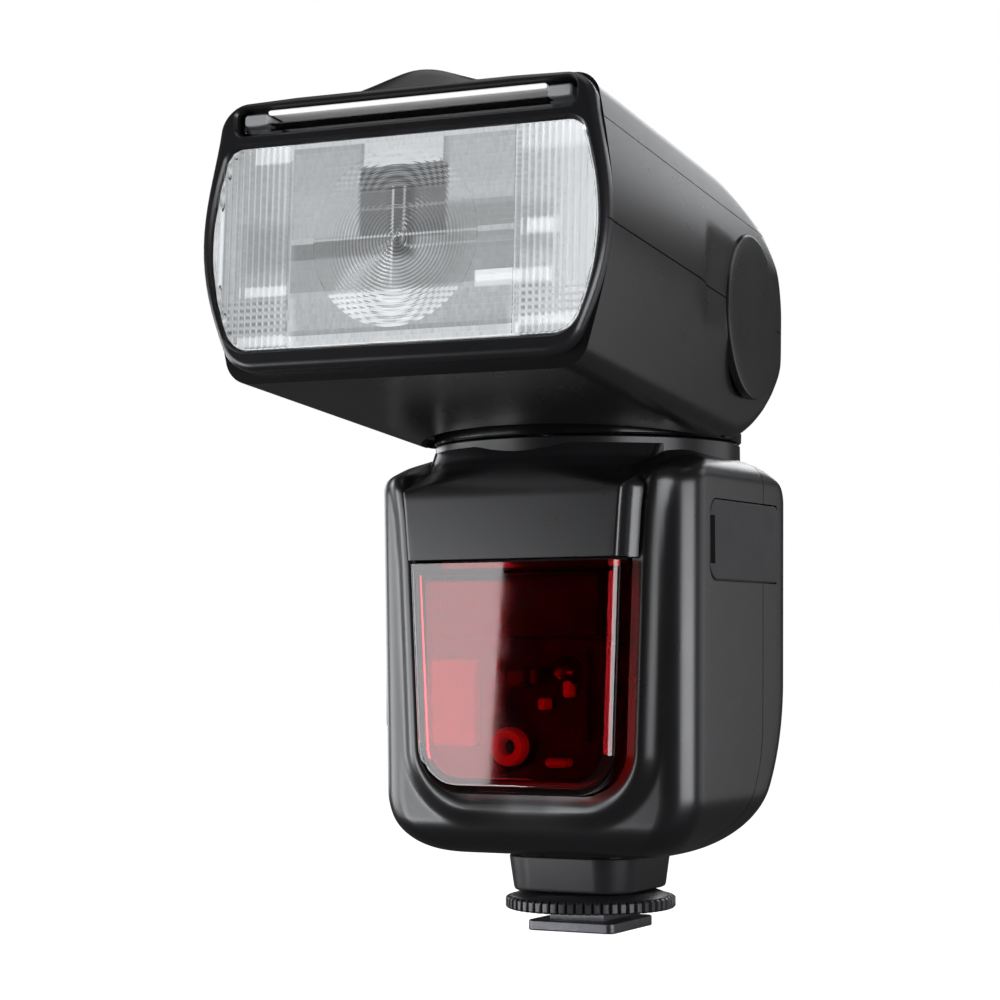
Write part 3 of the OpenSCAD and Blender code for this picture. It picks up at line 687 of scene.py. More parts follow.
def build_tray():
    """Stepped floor of the room behind the window, with a box, a shelf, two ribs and small parts."""
    back = TRAY_BACK
    box = rounded(back, back + 4.6, 0.6, 3)
    tray = loft_y("window_tray_floor", window_loop(0.9), [(back, 0), (back + 1.6, 0)])
    unite(tray, loft_y("tray_box", round_rect(33, 12.4, 1, 3), box, centre=(-0.5, 62.6)))
    for width, height, radius, rise, place in (
            (38, 1.2, 0.5, 5.2, (0, 55.2)), (1.2, 24, 0.5, 3.6, (-4.2, 42.8)), (1.0, 17, 0.4, 3.4, (12.8, 45.5))):
        stations = [(back, 0), (back + rise, 0)]
        unite(tray, loft_y("tray_rib", round_rect(width, height, radius, 3), stations, centre=place))
    for (x, z), r in ((LAMP_PLACE, 4.4), (SENSOR_PLACE, 3.3)):
        subtract(tray, rod(r, -60, 0, 48, axis="y", centre=(x, 0, z)))
    finish(tray, "inner_plastic", "window_tray", paint=TRAY)
    plate = loft_y("window_plate", round_rect(10.4, 16.4, 1.0, 4), rounded(back, back + 3.1, 0.5, 3),
                   centre=(-15.1, 44.3))
    finish(plate, "holder_white")
    ring = lathe("lamp_ring", [(1.4, -29.2), (1.7, -29.8), (3.1, -29.8), (3.6, -29.3), (3.6, -27.6), (1.4, -27.6)],
                 64, axis="y", centre=(LAMP_PLACE[0], 0, LAMP_PLACE[1]))
    finish(ring, "lamp_red", "af_lamp", paint=RED_RING)
    bead = lathe("sensor_bead", [(0, -30.2), (1.2, -30.0), (2.1, -29.2), (2.6, -27.6), (2.6, -24), (0, -24)], 48,
                 axis="y", centre=(SENSOR_PLACE[0], 0, SENSOR_PLACE[1]))
    finish(bead, "sleeve_dark", "optical_sensor")
    for name, x, z, w, h, paint, slot in TRAY_PARTS:
        outline = round_rect(w, h, min(w, h) * 0.42, 4)
        part = loft_y(name, outline, rounded(back + 1, back + 4.9, 0.5, 3), centre=(x, z))
        finish(part, slot, paint=paint)


build_window()
build_tray()


# ---- foot, collar and lock ring

def toothed_ring(name, outline, stations, axis="z", centre=(0, 0, 0)):
    """Closed solid through copies of a toothed outline; each station is (height, radius taken off)."""
    rings = [[turned(radius - off, angle, height, axis, centre) for angle, radius in outline]
             for height, off in stations]
    return skin(name, rings)


def teeth(radius, depth, number, steps=8):
    """Outline with round-bottomed grooves, as (angle, radius)."""
    outline = []
    for i in range(number * steps):
        phase = (i % steps) / steps
        groove = smooth(np.array(1 - abs(phase - 0.5) / 0.26)) if abs(phase - 0.5) < 0.26 else 0.0
        outline.append((TURN * i / (number * steps), radius - depth * float(groove)))
    return outline


def build_foot():
    collar = loft("collar", round_rect(27, 27, 6.9, 10),
                  [(7.7, 1.5), (7.95, 1.05), (8.4, 0.85), (14.0, 0.05), (14.3, 0.0), (14.55, 0.2)])
    unite(collar, loft("collar_top", round_rect(24, 24, 6, 8), [(14, 0), (18.8, 0)]))
    subtract(collar, block((-6.05, -6.05, 0), (6.05, 6.05, 30)))
    finish(collar, "trim_plastic", "foot_collar")
    skirt = loft("collar_skirt", round_rect(29.6, 29.6, 8, 10), [(14.75, 0.9), (15.0, 0.3), (15.3, 0.0), (17.2, 0.6)])
    subtract(skirt, block((-13.2, -13.2, 0), (13.2, 13.2, 30)))
    finish(skirt, "body_plastic")
    ring = toothed_ring("lock_wheel", teeth(16.6, 0.75, 60),
                        [(4.0, 0.55), (4.12, 0.25), (4.4, 0.0), (5.95, 0.0), (6.2, 0.2), (6.35, 0.55)])
    unite(ring, lathe("wheel_top", [(0, 6.2), (15.5, 6.2), (15.2, 6.55), (13.4, 7.25), (12.9, 7.3), (0, 7.3)], 96))
    subtract(ring, lathe("wheel_room", [(0, 3), (12.7, 3), (12.7, 5.2), (9.1, 5.2), (9.1, 9), (0, 9)], 96))
    finish(ring, "ring_plastic", "lock_ring", body="locking_ring")
    foot = size_mm("shoe_foot")[1]
    plate = loft("foot_plate", round_rect(foot.x * 2, foot.y * 2, 1.5, 5),
                 rounded(0, 2.0, 0.3, 3, both=True))
    unite(plate, loft("foot_neck", round_rect(12, 12, 0.3, 2), [(1, 0), (18, 0)]))
    for x, y, r in ((0, 0, 1.7), (-3.6, 3.6, 0.9), (3.6, 3.6, 0.9), (-3.6, -2.6, 0.9), (3.6, -2.6, 0.9)):
        subtract(plate, rod(r + 0.02, -1, 1.51, 32, centre=(x, y, 0)))
    subtract(plate, rod(1.05, -1, 12, 32, centre=(0, -4.2, 0)))
    finish(plate, "foot_metal", "shoe_foot")
    profile = [(5.5, 3.95), (12.2, 3.95), (12.4, 4.1), (12.4, 4.75), (12.2, 4.9), (5.5, 4.9)]
    washer = lathe("washer_plate", profile, 96)
    subtract(washer, block((-6.1, -6.1, 0), (6.1, 6.1, 10)))
    finish(washer, "steel", "lock_washer", body="washer")


build_foot()


# ---- turret

HINGE_YZ = (-7, 117)     # tilt axis in the turret's frame
CHEEK_RADIUS = 9


def build_turret():
    flange = lathe("neck_ring", [(12.05, NECK_Z), (30.0, NECK_Z), (30.0, 93.7), (29.7, 94.0), (12.05, 94.0)], 160)
    finish(flange, "body_plastic", "neck_flange")
    turret = lathe("turret_disc", [(0, 94.3), (29.9, 94.3), (30.25, 94.6), (30.3, 96.1), (30.1, 96.6), (29.3, 97.05),
                                   (28.4, 97.2), (0, 97.2)], 160)
    subtract(turret, rod(9, 90, 95.8, 64))
    cheeks = []
    y, z = HINGE_YZ
    for x0 in (-28, 24):
        outline = [(y - CHEEK_RADIUS, 97.0), (y + CHEEK_RADIUS, 97.0)] + arc(y, z, CHEEK_RADIUS, 0, 180, 20)
        cheek = loft("cheek", outline, rounded(x0, x0 + 4, 0.5, 3, both=True), plane="x", matrix=TURRET)
        subtract(cheek, rod(4.05, -60, 60, 48, axis="x", centre=(0, y, z), matrix=TURRET))
        cheeks.append(cheek)
    unite(turret, *cheeks)
    # the turret takes the darker plastic, painted shade under the head
    finish(turret, "trim_plastic", "swivel_base", body="turret", paint=TURRET_SHADED_PLASTIC)


build_turret()


# ---- head shells

SHELL_FRONT = -78.0      # where the shells end and the bezel starts
BEZEL_FRONT, BEZEL_EDGE = 81.0, 1.3
HEAD_UP, HEAD_DOWN = 26.0, 23.0
EAR_RADIUS = 23.4
EAR_X, CAP_X, CAP_RADIUS = 36.2, 36.7, 15.6
SIDE_SEAM, COVER_SEAM = 0.6, 18.2
HEAD_WALL = 1.8
NOTCH_X, NOTCH_RADIUS = 31.0, 19.4
TURRET_DROP = 19.8       # from the tilt axis down to the turret's top
HUMP_Y, HUMP_REACH, HUMP_HALF = -62, 15.4, 26
ROOF_END = -24           # where the flat roof starts to bend down to the ears
EAR_ANGLE = math.radians(75)
SIDE_BULGE, SIDE_SOFT, SIDE_LIMIT = 38.0, 2.2, 37.95
REAR_ROUND = 9           # length over which the head's rear draws in


def head_limits(y):
    """Lowest and highest point of the head at a distance along Y."""
    if y <= 0:
        low = -HEAD_DOWN - (EAR_RADIUS - HEAD_DOWN) * (y - SHELL_FRONT) / -SHELL_FRONT
    else:
        low = -math.sqrt(max(EAR_RADIUS ** 2 - y ** 2, 0))
    corner_y, corner_z = EAR_RADIUS * math.cos(EAR_ANGLE), EAR_RADIUS * math.sin(EAR_ANGLE)
    if y < ROOF_END:
        high = HEAD_UP
    elif y < corner_y:
        t = (y - ROOF_END) / (corner_y - ROOF_END)
        slope = -1 / math.tan(EAR_ANGLE) * (corner_y - ROOF_END)
        high = (HEAD_UP * (1 + 2 * t) * (1 - t) ** 2 + corner_z * t * t * (3 - 2 * t) + slope * t * t * (t - 1))
    else:
        high = math.sqrt(max(EAR_RADIUS ** 2 - y ** 2, 0))
    return low, high


def side_x(y, z):
    """Half width of the head at a point of its side: a bulge at the seam, flat round each hinge cap."""
    top = SIDE_BULGE + (33.76 - SIDE_BULGE) * (z - SIDE_SEAM) / (22.56 - SIDE_SEAM)
    low = SIDE_BULGE + (32.53 - SIDE_BULGE) * (z - SIDE_SEAM) / (-19.28 - SIDE_SEAM)
    x = -SIDE_SOFT * math.log(math.exp(-top / SIDE_SOFT) + math.exp(-low / SIDE_SOFT)) + 0.55
    x = min(x, SIDE_LIMIT)
    reach = math.hypot(y + 0.5, z * 0.93)
    flat = min(x, EAR_X)
    return float(x + (flat - x) * smooth(np.array((31.0 - reach) / 4.5)))


def head_ring(y, inset, steps=9):
    """Cross-section of the head at a distance along Y, anticlockwise in XZ."""
    low, high = head_limits(y)
    low, high = low + inset, high - inset
    middle, reach = (low + high) / 2, (high - low) / 2
    reach = max(reach, 0.05)
    low, high = middle - reach, middle + reach
    r_top = min(4.4 - inset, reach * 0.8)
    r_low = min(5.0 - inset, reach * 0.8)
    short = max((y - (EAR_RADIUS - REAR_ROUND - inset)) / REAR_ROUND, 0)
    turn = 1.5 * (1 - math.sqrt(max(1 - min(short, 1) ** 2, 0)))
    side = []
    base_low = side_x(y, low + r_low * 0.9) - inset - turn
    base_top = side_x(y, high - r_top * 0.9) - inset - turn
    side += arc(base_low - r_low, low + r_low, r_low, -90, -8, steps)
    for t in np.linspace(0, 1, 34)[1:-1]:
        z = side[steps][1] + t * ((high - r_top * 0.87) - side[steps][1])
        side.append((side_x(y, z) - inset - turn, z))
    side += arc(base_top - r_top, high - r_top, r_top, 8, 90, steps)
    flat_low = [(x, low) for x in np.linspace(-side[0][0], side[0][0], 24)[1:-1]]
    flat_top = [(x, high) for x in np.linspace(side[-1][0], -side[-1][0], 24)[1:-1]]
    return flat_low + side + flat_top + [(-x, z) for x, z in reversed(side)]


def head_solid(name, inset=0.0):
    start = SHELL_FRONT + inset
    end = EAR_RADIUS - inset
    straight = np.linspace(start, -30, 14)
    middle = np.linspace(-30, 8, 44)[1:]
    turn = 8 + (end - 8) * np.sin(np.radians(np.linspace(0, 90, 26)[1:]))
    stations = np.concatenate([straight, middle, turn])
    return skin(name, [[(x, y, z) for x, z in head_ring(y, inset)] for y in stations], HEAD)


def tilted(angle):
    return HEAD @ Matrix.Rotation(math.radians(angle), 4, "X")


def rear_notch(grow):
    """Room behind the head between its ears, down to a drum about the tilt axis."""
    tool = block((-NOTCH_X - grow, -1, -60), (NOTCH_X + grow, 60, NOTCH_RADIUS - grow), HEAD)
    drum = head_rod(NOTCH_RADIUS - grow, -80, 80, 128)
    return subtract(tool, drum)


def turret_clearance(grow):
    """Room under the head for the turret's disc while the head tilts."""
    top = -TURRET_DROP + 0.35 + grow
    return [rod(30.8 + grow, -70, top, 128, centre=(0, 7, 0), matrix=tilted(angle)) for angle in (-8, -4, 0, 4)]


def cheek_slot(x):
    """Slot that lets a cheek of the yoke pass through the underside and the rear."""
    slot = head_lathe("slot", [(11, x - 2.4), (22, x - 2.4), (22, x + 2.4), (11, x + 2.4)], 96)
    subtract(slot, block((-60, -60, -60), (60, -9.6, 60), tilted(-8)))
    return subtract(slot, block((-60, -60, 9.8), (60, 60, 60), HEAD))


def build_shells():
    shell = head_solid("head_outer")
    hollow = head_solid("head_hollow", HEAD_WALL)
    subtract(hollow, *turret_clearance(HEAD_WALL))
    subtract(hollow, rear_notch(HEAD_WALL))
    subtract(shell, hollow)
    subtract(shell, block((-31, -90, -19), (31, SHELL_FRONT + 5, 24), HEAD))
    subtract(shell, *turret_clearance(0.0))
    subtract(shell, rear_notch(0.0))
    subtract(shell, cheek_slot(-26), cheek_slot(26))
    for side in (-1, 1):
        x0, x1 = side * (EAR_X - 1), side * 45
        subtract(shell, head_rod(CAP_RADIUS + 0.12, x0, x1, 128))
    subtract(shell, head_rod(4, -60, 60, 48))
    lower, cover = copy_of(shell, "head_lower"), copy_of(shell, "head_cover")
    shell.name = "head_upper"
    keep(lower, block((-60, -90, -60), (60, 60, SIDE_SEAM - GAP), HEAD))
    keep(shell, block((-60, -90, SIDE_SEAM + GAP), (60, 60, COVER_SEAM - GAP * 0.7), HEAD))
    keep(cover, block((-60, -90, COVER_SEAM + GAP * 0.7), (60, 60, 60), HEAD))
    unite(cover, hump())
    finish(lower, "body_plastic", "head_lower_shell", body="head")
    finish(shell, "body_plastic", "head_upper_shell", body="head")
    finish(cover, "body_plastic", "head_top_cover", body="head")


def hump():
    """Low arch on the top cover behind the bezel, highest in the middle, hollow below."""
    low, high = HUMP_Y - HUMP_REACH, HUMP_Y + HUMP_REACH
    columns, rows = np.linspace(-HUMP_HALF, HUMP_HALF, 66), np.linspace(low, high, 40)
    top = size_above_roof()
    verts = []
    for y in rows:
        along = float(smooth(np.array((y - low) / 3.9)) * smooth(np.array((high - y) / 11)))
        for x in columns:
            wide_arch = max(math.cos(math.pi * x / (2 * HUMP_HALF)), 0.0) ** 1.5
            across = 0.44 * wide_arch + 0.56 * math.exp(-(x / 9.0) ** 2)
            verts.append((x, y, HEAD_UP - 0.25 + (top + 0.25) * along * across))
    count = len(verts)
    verts += [(x, y, HEAD_UP - 0.9) for x, y, _ in verts]
    faces = grid_faces(len(rows), len(columns))
    wide, deep = len(columns), len(rows)
    rim = [i for i in range(wide)] + [r * wide + wide - 1 for r in range(1, deep)]
    rim += [(deep - 1) * wide + c for c in range(wide - 2, -1, -1)] + [r * wide for r in range(deep - 2, 0, -1)]
    walls = [(a, b, b + count, a + count) for a, b in zip(rim, rim[1:] + rim[:1])]
    faces += [tuple(i + count for i in reversed(face)) for face in faces] + walls
    return from_data("hump", verts, faces, HEAD)


def size_above_roof():
    """Height of the hump above the roof of the head, from the CAD's top cover."""
    corners = [HEAD.inverted() @ v.co for v in NODES["head_top_cover"].data.vertices]
    return max(c.z for c in corners) / MM - HEAD_UP - 0.1


# ---- bezel, lens, card and wide panel

def bowed(lower, points, upper, steps=18):
    """A smooth side between two corner arcs, close to the points given."""
    points = [lower[-1], *points, upper[0]]
    z = [b for _, b in points]
    curve = np.polyfit(z, [a for a, _ in points], 4)
    heights = np.linspace(z[0], z[-1], steps)[1:-1]
    return lower + [(float(np.polyval(curve, b)), float(b)) for b in heights] + upper


def lens_loop(inset=0.0):
    side = bowed(arc(27.6, -12.6, 5, -90, -22, 10), [(34.3, -8), (34.95, -4), (35.2, 0), (35.1, 5), (34.2, 10)],
                 arc(29.8, 14.4, 3.2, 20, 90, 8))
    return both_sides(side, inset)


def bezel_loop():
    side = bowed(arc(26.6, -14.6, 6.6, -90, -24, 12), [(35.8, -8.5), (36.8, -4), (37.2, 1), (36.9, 7), (35.9, 13)],
                 arc(29, 20, 5.6, 14, 84, 10)) + [(20, HEAD_UP - 0.16)]
    return both_sides(side)


def build_front():
    """Bezel with a chamfered joint to the shells, a rounded front edge, the lens mouth and the slot above it."""
    stations = [(-SHELL_FRONT, 0.35), (-SHELL_FRONT + 0.25, 0.05), (-SHELL_FRONT + 0.6, 0.0)]
    stations += [(BEZEL_FRONT - BEZEL_EDGE * (1 - math.sin(t)), BEZEL_EDGE * (1 - math.cos(t)))
                 for t in np.radians(np.linspace(0, 90, 8))]
    bezel = head_loft("bezel", bezel_loop(), stations)
    mouth = [(70, -0.1), (79.9, -0.1), (80.4, -0.18), (80.8, -0.45), (81.3, -1.0)]
    slot = [(70, 0.0), (80.4, 0.0), (80.8, -0.25), (81.3, -0.8)]
    subtract(bezel, head_loft("bezel_mouth", lens_loop(), mouth),
             head_loft("bezel_slot", round_rect(62.6, 4.8, 1.6, 6), slot, centre=(0, 22.2)))
    for x in (-38.2, 36.8):
        subtract(bezel, block((x, -80.6, SIDE_SEAM - GAP), (x + 1.4, -77, SIDE_SEAM + GAP), HEAD))
    finish(bezel, "trim_plastic", "front_bezel", body="head")


def build_slot_parts():
    """White card and clear wide panel in the slot above the lens; the card and its lip glow as painted light."""
    card = head_loft("card", round_rect(51.2, 0.5, 0.2, 3), [(34.3, 0.15), (34.6, 0), (79.4, 0)], centre=(0, 23.8))
    lip = head_loft("card_lip", round_rect(51.2, 0.8, 0.36, 5), [(79.1, 0.1), (79.3, 0), (79.75, 0), (79.98, 0.2)],
                    centre=(0, 23.7))
    finish(card, "card_white", "catchlight_card", body="bounce_card")
    finish(lip, "card_white", body="bounce_card", paint=CARD_EDGE_GLOW)
    panel = head_loft("diffuser_plate", round_rect(60.6, 1.4, 0.5, 4),
                      [(29.3, 0.4), (29.7, 0), (79.6, 0), (80.0, 0.3)], centre=(0, 21.2))
    finish(panel, "panel_clear", "wide_panel", body="diffuser")
    for x in (-28, 28):
        tab = head_loft("tab", round_rect(4.4, 2.2, 0.7, 5), [(74.0, 0.3), (74.3, 0), (79.6, 0), (80.0, 0.3)],
                        centre=(x, 22.6))
        finish(tab, "panel_clear", body="diffuser", paint=TAB)


def build_hinge_caps():
    for side, name in ((-1, "hinge_cap_l"), (1, "hinge_cap_r")):
        profile = [(0, EAR_X - 1), (CAP_RADIUS, EAR_X - 1), (CAP_RADIUS, CAP_X - 0.5),
                   (CAP_RADIUS - 0.16, CAP_X - 0.18), (CAP_RADIUS - 0.5, CAP_X - 0.05),
                   (CAP_RADIUS - 3, CAP_X), (0, CAP_X)]
        cap = head_lathe(name, [(radius, x * side) for radius, x in profile], 160)
        finish(cap, "body_plastic", *(["hinge_caps"] if side > 0 else []), body="head")


build_shells()
build_front()
build_slot_parts()
build_hinge_caps()


# ---- lens and the lamp behind it

RING_PITCH = 0.62        # ring-shaped grooves in the middle of the lens
ROW_PITCH = 0.92         # straight grooves above and below them
RIB_PITCH = 1.1          # upright ribs of the two side bands
BAND = 20.7              # where the side bands start
DISC = 15.0              # outer radius of the ring-shaped grooves
LENS_BACK, LENS_FACE, LENS_FRONT = 78.6, 80.25, 80.56
RELIEF_BACK = -79.6      # where ribs and grooves start inside the plate


def ridges(start, end, pitch, low, high, steps=6):
    """Profile of rounded ridges side by side, as (place, height) points."""
    count = max(1, round((end - start) / pitch))
    points = []
    for i in range(count * steps + 1):
        phase = i / steps
        points.append((start + (end - start) * phase / count,
                       low + (high - low) * math.sin(math.pi * (phase % 1.0)) ** 0.8))
    return points


def build_lens():
    """Clear plate with upright ribs at both sides, straight grooves, and ring-shaped grooves in the middle."""
    plate = head_loft("lens", lens_loop(0.06), [(LENS_BACK, 0), (LENS_FACE - 0.2, 0), (LENS_FACE, 0.15)])
    limit = head_loft("lens_limit", lens_loop(0.25), [(79, 0), (82, 0)])
    relief = []
    for side in (-1, 1):
        profile = ridges(BAND, 35.5, RIB_PITCH, LENS_FRONT - 0.34, LENS_FRONT)
        outline = [(side * x, -depth) for x, depth in profile]
        outline += [(side * 35.5, RELIEF_BACK), (side * BAND, RELIEF_BACK)]
        relief.append(loft("ribs", outline, [(-18, 0), (18, 0)], matrix=HEAD))
    profile = ridges(-17.5, 17.5, ROW_PITCH, LENS_FRONT - 0.2, LENS_FRONT - 0.06)
    outline = [(-depth, z) for z, depth in profile] + [(RELIEF_BACK, 17.5), (RELIEF_BACK, -17.5)]
    rows = loft("rows", outline, [(-BAND, 0), (BAND, 0)], plane="x", matrix=HEAD)
    middle = (-0.8, 0, 0)
    subtract(rows, rod(DISC, -82, -79, 160, axis="y", centre=middle, matrix=HEAD))
    profile = [(0, RELIEF_BACK), (0, -80.2)]
    grooves = int(DISC / RING_PITCH)
    for i in range(grooves):
        radius = DISC * i / grooves
        deep = 0.12 * (1 - 0.5 * radius / DISC)
        profile += [(radius + 0.05, -LENS_FRONT + 0.06 + deep), (radius + RING_PITCH * 0.75, -LENS_FRONT + 0.06)]
    disc = lathe("rings", profile + [(DISC, -LENS_FRONT + 0.1), (DISC, RELIEF_BACK)], 160, axis="y", centre=middle,
                 matrix=HEAD)
    relief += [rows, disc]
    unite(relief[0], *relief[1:])
    keep(relief[0], limit)
    unite(plate, relief[0])
    finish(plate, "lens_clear", "fresnel_lens", body="head", angle=24)
    # glowing plate behind the lens that carries the painted light and shade
    glow_plate = head_loft("lens_liner", lens_loop(0.03), [(78.05, 0), (78.5, 0)])
    finish(glow_plate, "holder_white", body="head", paint=PAINTED_GLOW)


class Value:
    """A number inside a node tree, so that shading can be written as arithmetic."""

    def __init__(self, tree, socket):
        self.tree, self.socket = tree, socket

    def apply(self, operation, *others):
        node = self.tree.nodes.new("ShaderNodeMath")
        node.operation = operation
        for i, item in enumerate((self, *others)):
            if isinstance(item, Value):
                self.tree.links.new(item.socket, node.inputs[i])
            else:
                node.inputs[i].default_value = item
        return Value(self.tree, node.outputs[0])

    def __add__(self, other):
        return self.apply("ADD", other)

    def __sub__(self, other):
        return self.apply("SUBTRACT", other)

    def __mul__(self, other):
        return self.apply("MULTIPLY", other)

    def fade(self, start, end):
        """1 below start, 0 above end, smooth in between."""
        node = self.tree.nodes.new("ShaderNodeMapRange")
        node.interpolation_type = "SMOOTHSTEP"
        set_range(node, start, end, 1.0, 0.0)
        self.tree.links.new(self.socket, node.inputs["Value"])
        return Value(self.tree, node.outputs["Result"])


def inside(x, z, x0, x1, z0, z1, soft=0.5):
    """1 inside a box in the lens plane and 0 outside it, with a soft edge."""
    across = (x - (x0 + x1) / 2).apply("ABSOLUTE") - (x1 - x0) / 2
    along = (z - (z0 + z1) / 2).apply("ABSOLUTE") - (z1 - z0) / 2
    return across.apply("MAXIMUM", along).fade(-soft, soft)


def painted_glow_material():
    """Painted light and shade of the lamp's inside as it shows through the lens, on a glowing plate: white and grey
    boxes of painted light, a painted dark middle, fine painted light and dark lines.
    """
    material, tree, shader = new_material("lens_liner")
    place = tree.nodes.new("ShaderNodeTexCoord")
    local = tree.nodes.new("ShaderNodeMapping")
    local.vector_type = "TEXTURE"
    local.inputs["Location"].default_value = HEAD.translation
    local.inputs["Rotation"].default_value = HEAD.to_euler()
    local.inputs["Scale"].default_value = (MM, MM, MM)
    tree.links.new(place.outputs["Object"], local.inputs["Vector"])
    split = tree.nodes.new("ShaderNodeSeparateXYZ")
    tree.links.new(local.outputs["Vector"], split.inputs["Vector"])
    x, z = Value(tree, split.outputs["X"]), Value(tree, split.outputs["Z"])
    tone = x * 0.0 + 0.36
    for x0, x1, z0, z1, level, soft in PAINTED_LIGHT_BOXES:
        mask = inside(x, z, x0, x1, z0, z1, soft)
        tone = tone + mask * (tone * -1.0 + level)
    radius = ((x + 0.8) * (x + 0.8) + z * z).apply("SQRT")
    # painted light and dark lines: rings, rows and ribs standing for the lens's grooves, and a checker band
    rings = (radius * (TURN / RING_PITCH)).apply("SINE") * radius.fade(8.5, 15) * z.fade(-2, 9) * 0.4
    rows = (z * (TURN / ROW_PITCH)).apply("SINE") * 0.22
    rows = rows * (inside(x, z, -20, 20, -17.5, -8.6, 1.2) * 1.6 + inside(x, z, -8.2, 8.2, 8.6, 12.6, 0.3) * 2.0
                   + inside(x, z, -21, 21, 9, 18, 2.0) * 0.6)
    band = x.apply("ABSOLUTE").fade(BAND - 0.1, BAND + 0.1) * -1.0 + 1.0
    ribs = (x * (TURN / RIB_PITCH)).apply("SINE") * band * 0.24
    checker = (z * (TURN / 1.2)).apply("SINE") * (x * (TURN / RIB_PITCH)).apply("SINE")
    checker = checker * band * inside(x, z, -36, 36, -15, -9, 0.6) * 0.3
    speckle = Value(tree, noise(tree, 1.6, 4.0, 0.7)) - 0.5
    tone = tone * (rings + rows + ribs + checker + speckle * 0.5 + 1.0)
    paint = tree.nodes.new("ShaderNodeCombineColor")
    for channel, gain in zip(("Red", "Green", "Blue"), (0.985, 0.99, 1.0)):
        tree.links.new((tone * gain).apply("MINIMUM", 0.95).socket, paint.inputs[channel])
    tree.links.new(paint.outputs["Color"], shader.inputs["Base Color"])
    tree.links.new(paint.outputs["Color"], shader.inputs["Emission Color"])
    # the plate glows: painted light, though it is no lamp
    set_inputs(shader, Emission_Strength=0.85)
    roughen(tree, shader, 3.0, 0.02, 0.6)
    tree.links.new(ramp(tree, noise(tree, 0.3, 3.0), 0.45, 0.6), shader.inputs["Roughness"])
    return material


# Boxes of painted light and shade on the glowing plate behind the lens: left, right, bottom and top edge in
# millimetres, level, softness
PAINTED_LIGHT_BOXES = [
    (-BAND, -8.0, 1.0, 16.6, 0.46, 0.5), (8.0, BAND, 5.5, 17.0, 0.5, 1.0), (8.0, BAND, 1.0, 5.5, 0.33, 1.4),
    (-BAND, BAND, -8.3, -2.4, 0.36, 1.0), (-BAND, -2.0, -2.4, 0.9, 0.25, 0.4), (2.0, BAND, -2.4, 0.2, 0.34, 0.6),
    (-BAND, BAND, -15.0, -8.4, 0.66, 0.5), (-8.0, 8.0, 0.3, 12.6, 0.2, 0.3), (-2.2, 2.2, -3.0, 9.0, 0.13, 1.0),
    (-7.4, 7.2, 12.8, 16.7, 0.66, 0.12), (-BAND, BAND, 16.9, 18.5, 0.62, 0.3), (-21.0, 21.0, -18.5, -15.2, 0.9, 0.3),
    (-36.0, -BAND, -18.0, 18.0, 0.52, 0.1), (BAND, 36.0, -18.0, 18.0, 0.62, 0.1),
    (-30.0, -BAND, -4.0, 4.0, 0.42, 1.6), (20.9, 27.0, -3.5, 4.5, 0.5, 1.2), (-28.0, -20.9, 14.8, 17.8, 0.85, 0.3),
    (21.0, 33.0, 13.5, 18.0, 0.8, 0.8), (-29.8, -21.2, -8.2, -6.6, 0.92, 0.3), (13.5, 27.0, -8.6, -6.4, 0.9, 0.4),
    (22.0, 27.5, -0.6, 1.8, 0.92, 0.5), (-31.0, -20.9, -16.8, -15.1, 0.92, 0.3), (21.0, 33.0, -15.8, -14.2, 0.9, 0.4),
    (-35.6, -34.2, -8.0, 8.0, 0.9, 0.4), (33.6, 34.8, -8.0, 8.0, 0.85, 0.4),
    (-2.0, -1.6, -7.6, 8.8, 0.5, 0.12), (0.1, 0.5, -1.0, 8.8, 0.42, 0.12), (-BAND, BAND, 0.55, 0.95, 0.5, 0.15),
    (1.0, BAND, -1.5, -1.1, 0.45, 0.15), (-7.8, 8.0, 5.4, 5.75, 0.33, 0.15),
]
PAINTED_GLOW = painted_glow_material()


DISH_BACK, DISH_DEPTH, DISH_HALF = -55, 21.4, 15.6


def dish_profile(thick, steps=18):
    """Side view of the reflector: a trough that opens towards the lens, in Y and Z."""
    upper = []
    for i in range(steps + 1):
        y = -76.4 + DISH_DEPTH * i / steps
        half = DISH_HALF * math.sqrt(max((DISH_BACK - y) / DISH_DEPTH, 0))
        upper.append((y, half + thick * min(1, i / 2 + 0.5)))
    upper[-1] = (DISH_BACK + thick, 0.0)
    return upper + [(y, -z) for y, z in reversed(upper[:-1])]


def build_lamp():
    outer = loft("trough", dish_profile(0.95), [(-27.4, 0), (27.4, 0)], plane="x", matrix=HEAD)
    room = [(-80, -15.5), (-76.2, -15.5)] + dish_profile(0.0)[::-1][1:-1] + [(-76.2, 15.5), (-80, 15.5)]
    subtract(outer, loft("trough_room", room, [(-26.7, 0), (26.7, 0)], plane="x", matrix=HEAD),
             head_rod(2.5, -40, 40, 32, centre=(0, -58, 0)))
    finish(outer, "reflector_metal", "reflector", body="zoom_carriage")


build_lens()
build_lamp()


# ---- key panel, display, keys and dial

DISPLAY, DIAL = (0, 74.5), (0, 44)     # centres on the key panel, X and Z
KEY_PLACES = [((k - 1.5) * 10.5, 59.4) for k in range(4)]
KEY_TOP = PANEL_Y + 0.9


def raised(name, outline, stations, centre):
    """A loft whose depths are heights along +Y."""
    return loft_y(name, outline, [(-height, inset) for height, inset in stations], centre=centre)


def key_cap(name, outline, place, body, node, paint=None):
    """Key with a rounded rim that stands on a wider flange."""
    cap = raised(name, outline, rounded(HALF_D - 1, KEY_TOP, 0.45, 4), place)
    wider = [tuple(p) for p in inset_loop(outline, -0.6)]
    unite(cap, raised("key_flange", wider, [(HALF_D - 2, 0), (HALF_D - 0.9, 0)], place))
    finish(cap, "key_rubber", node, body=body, paint=paint)


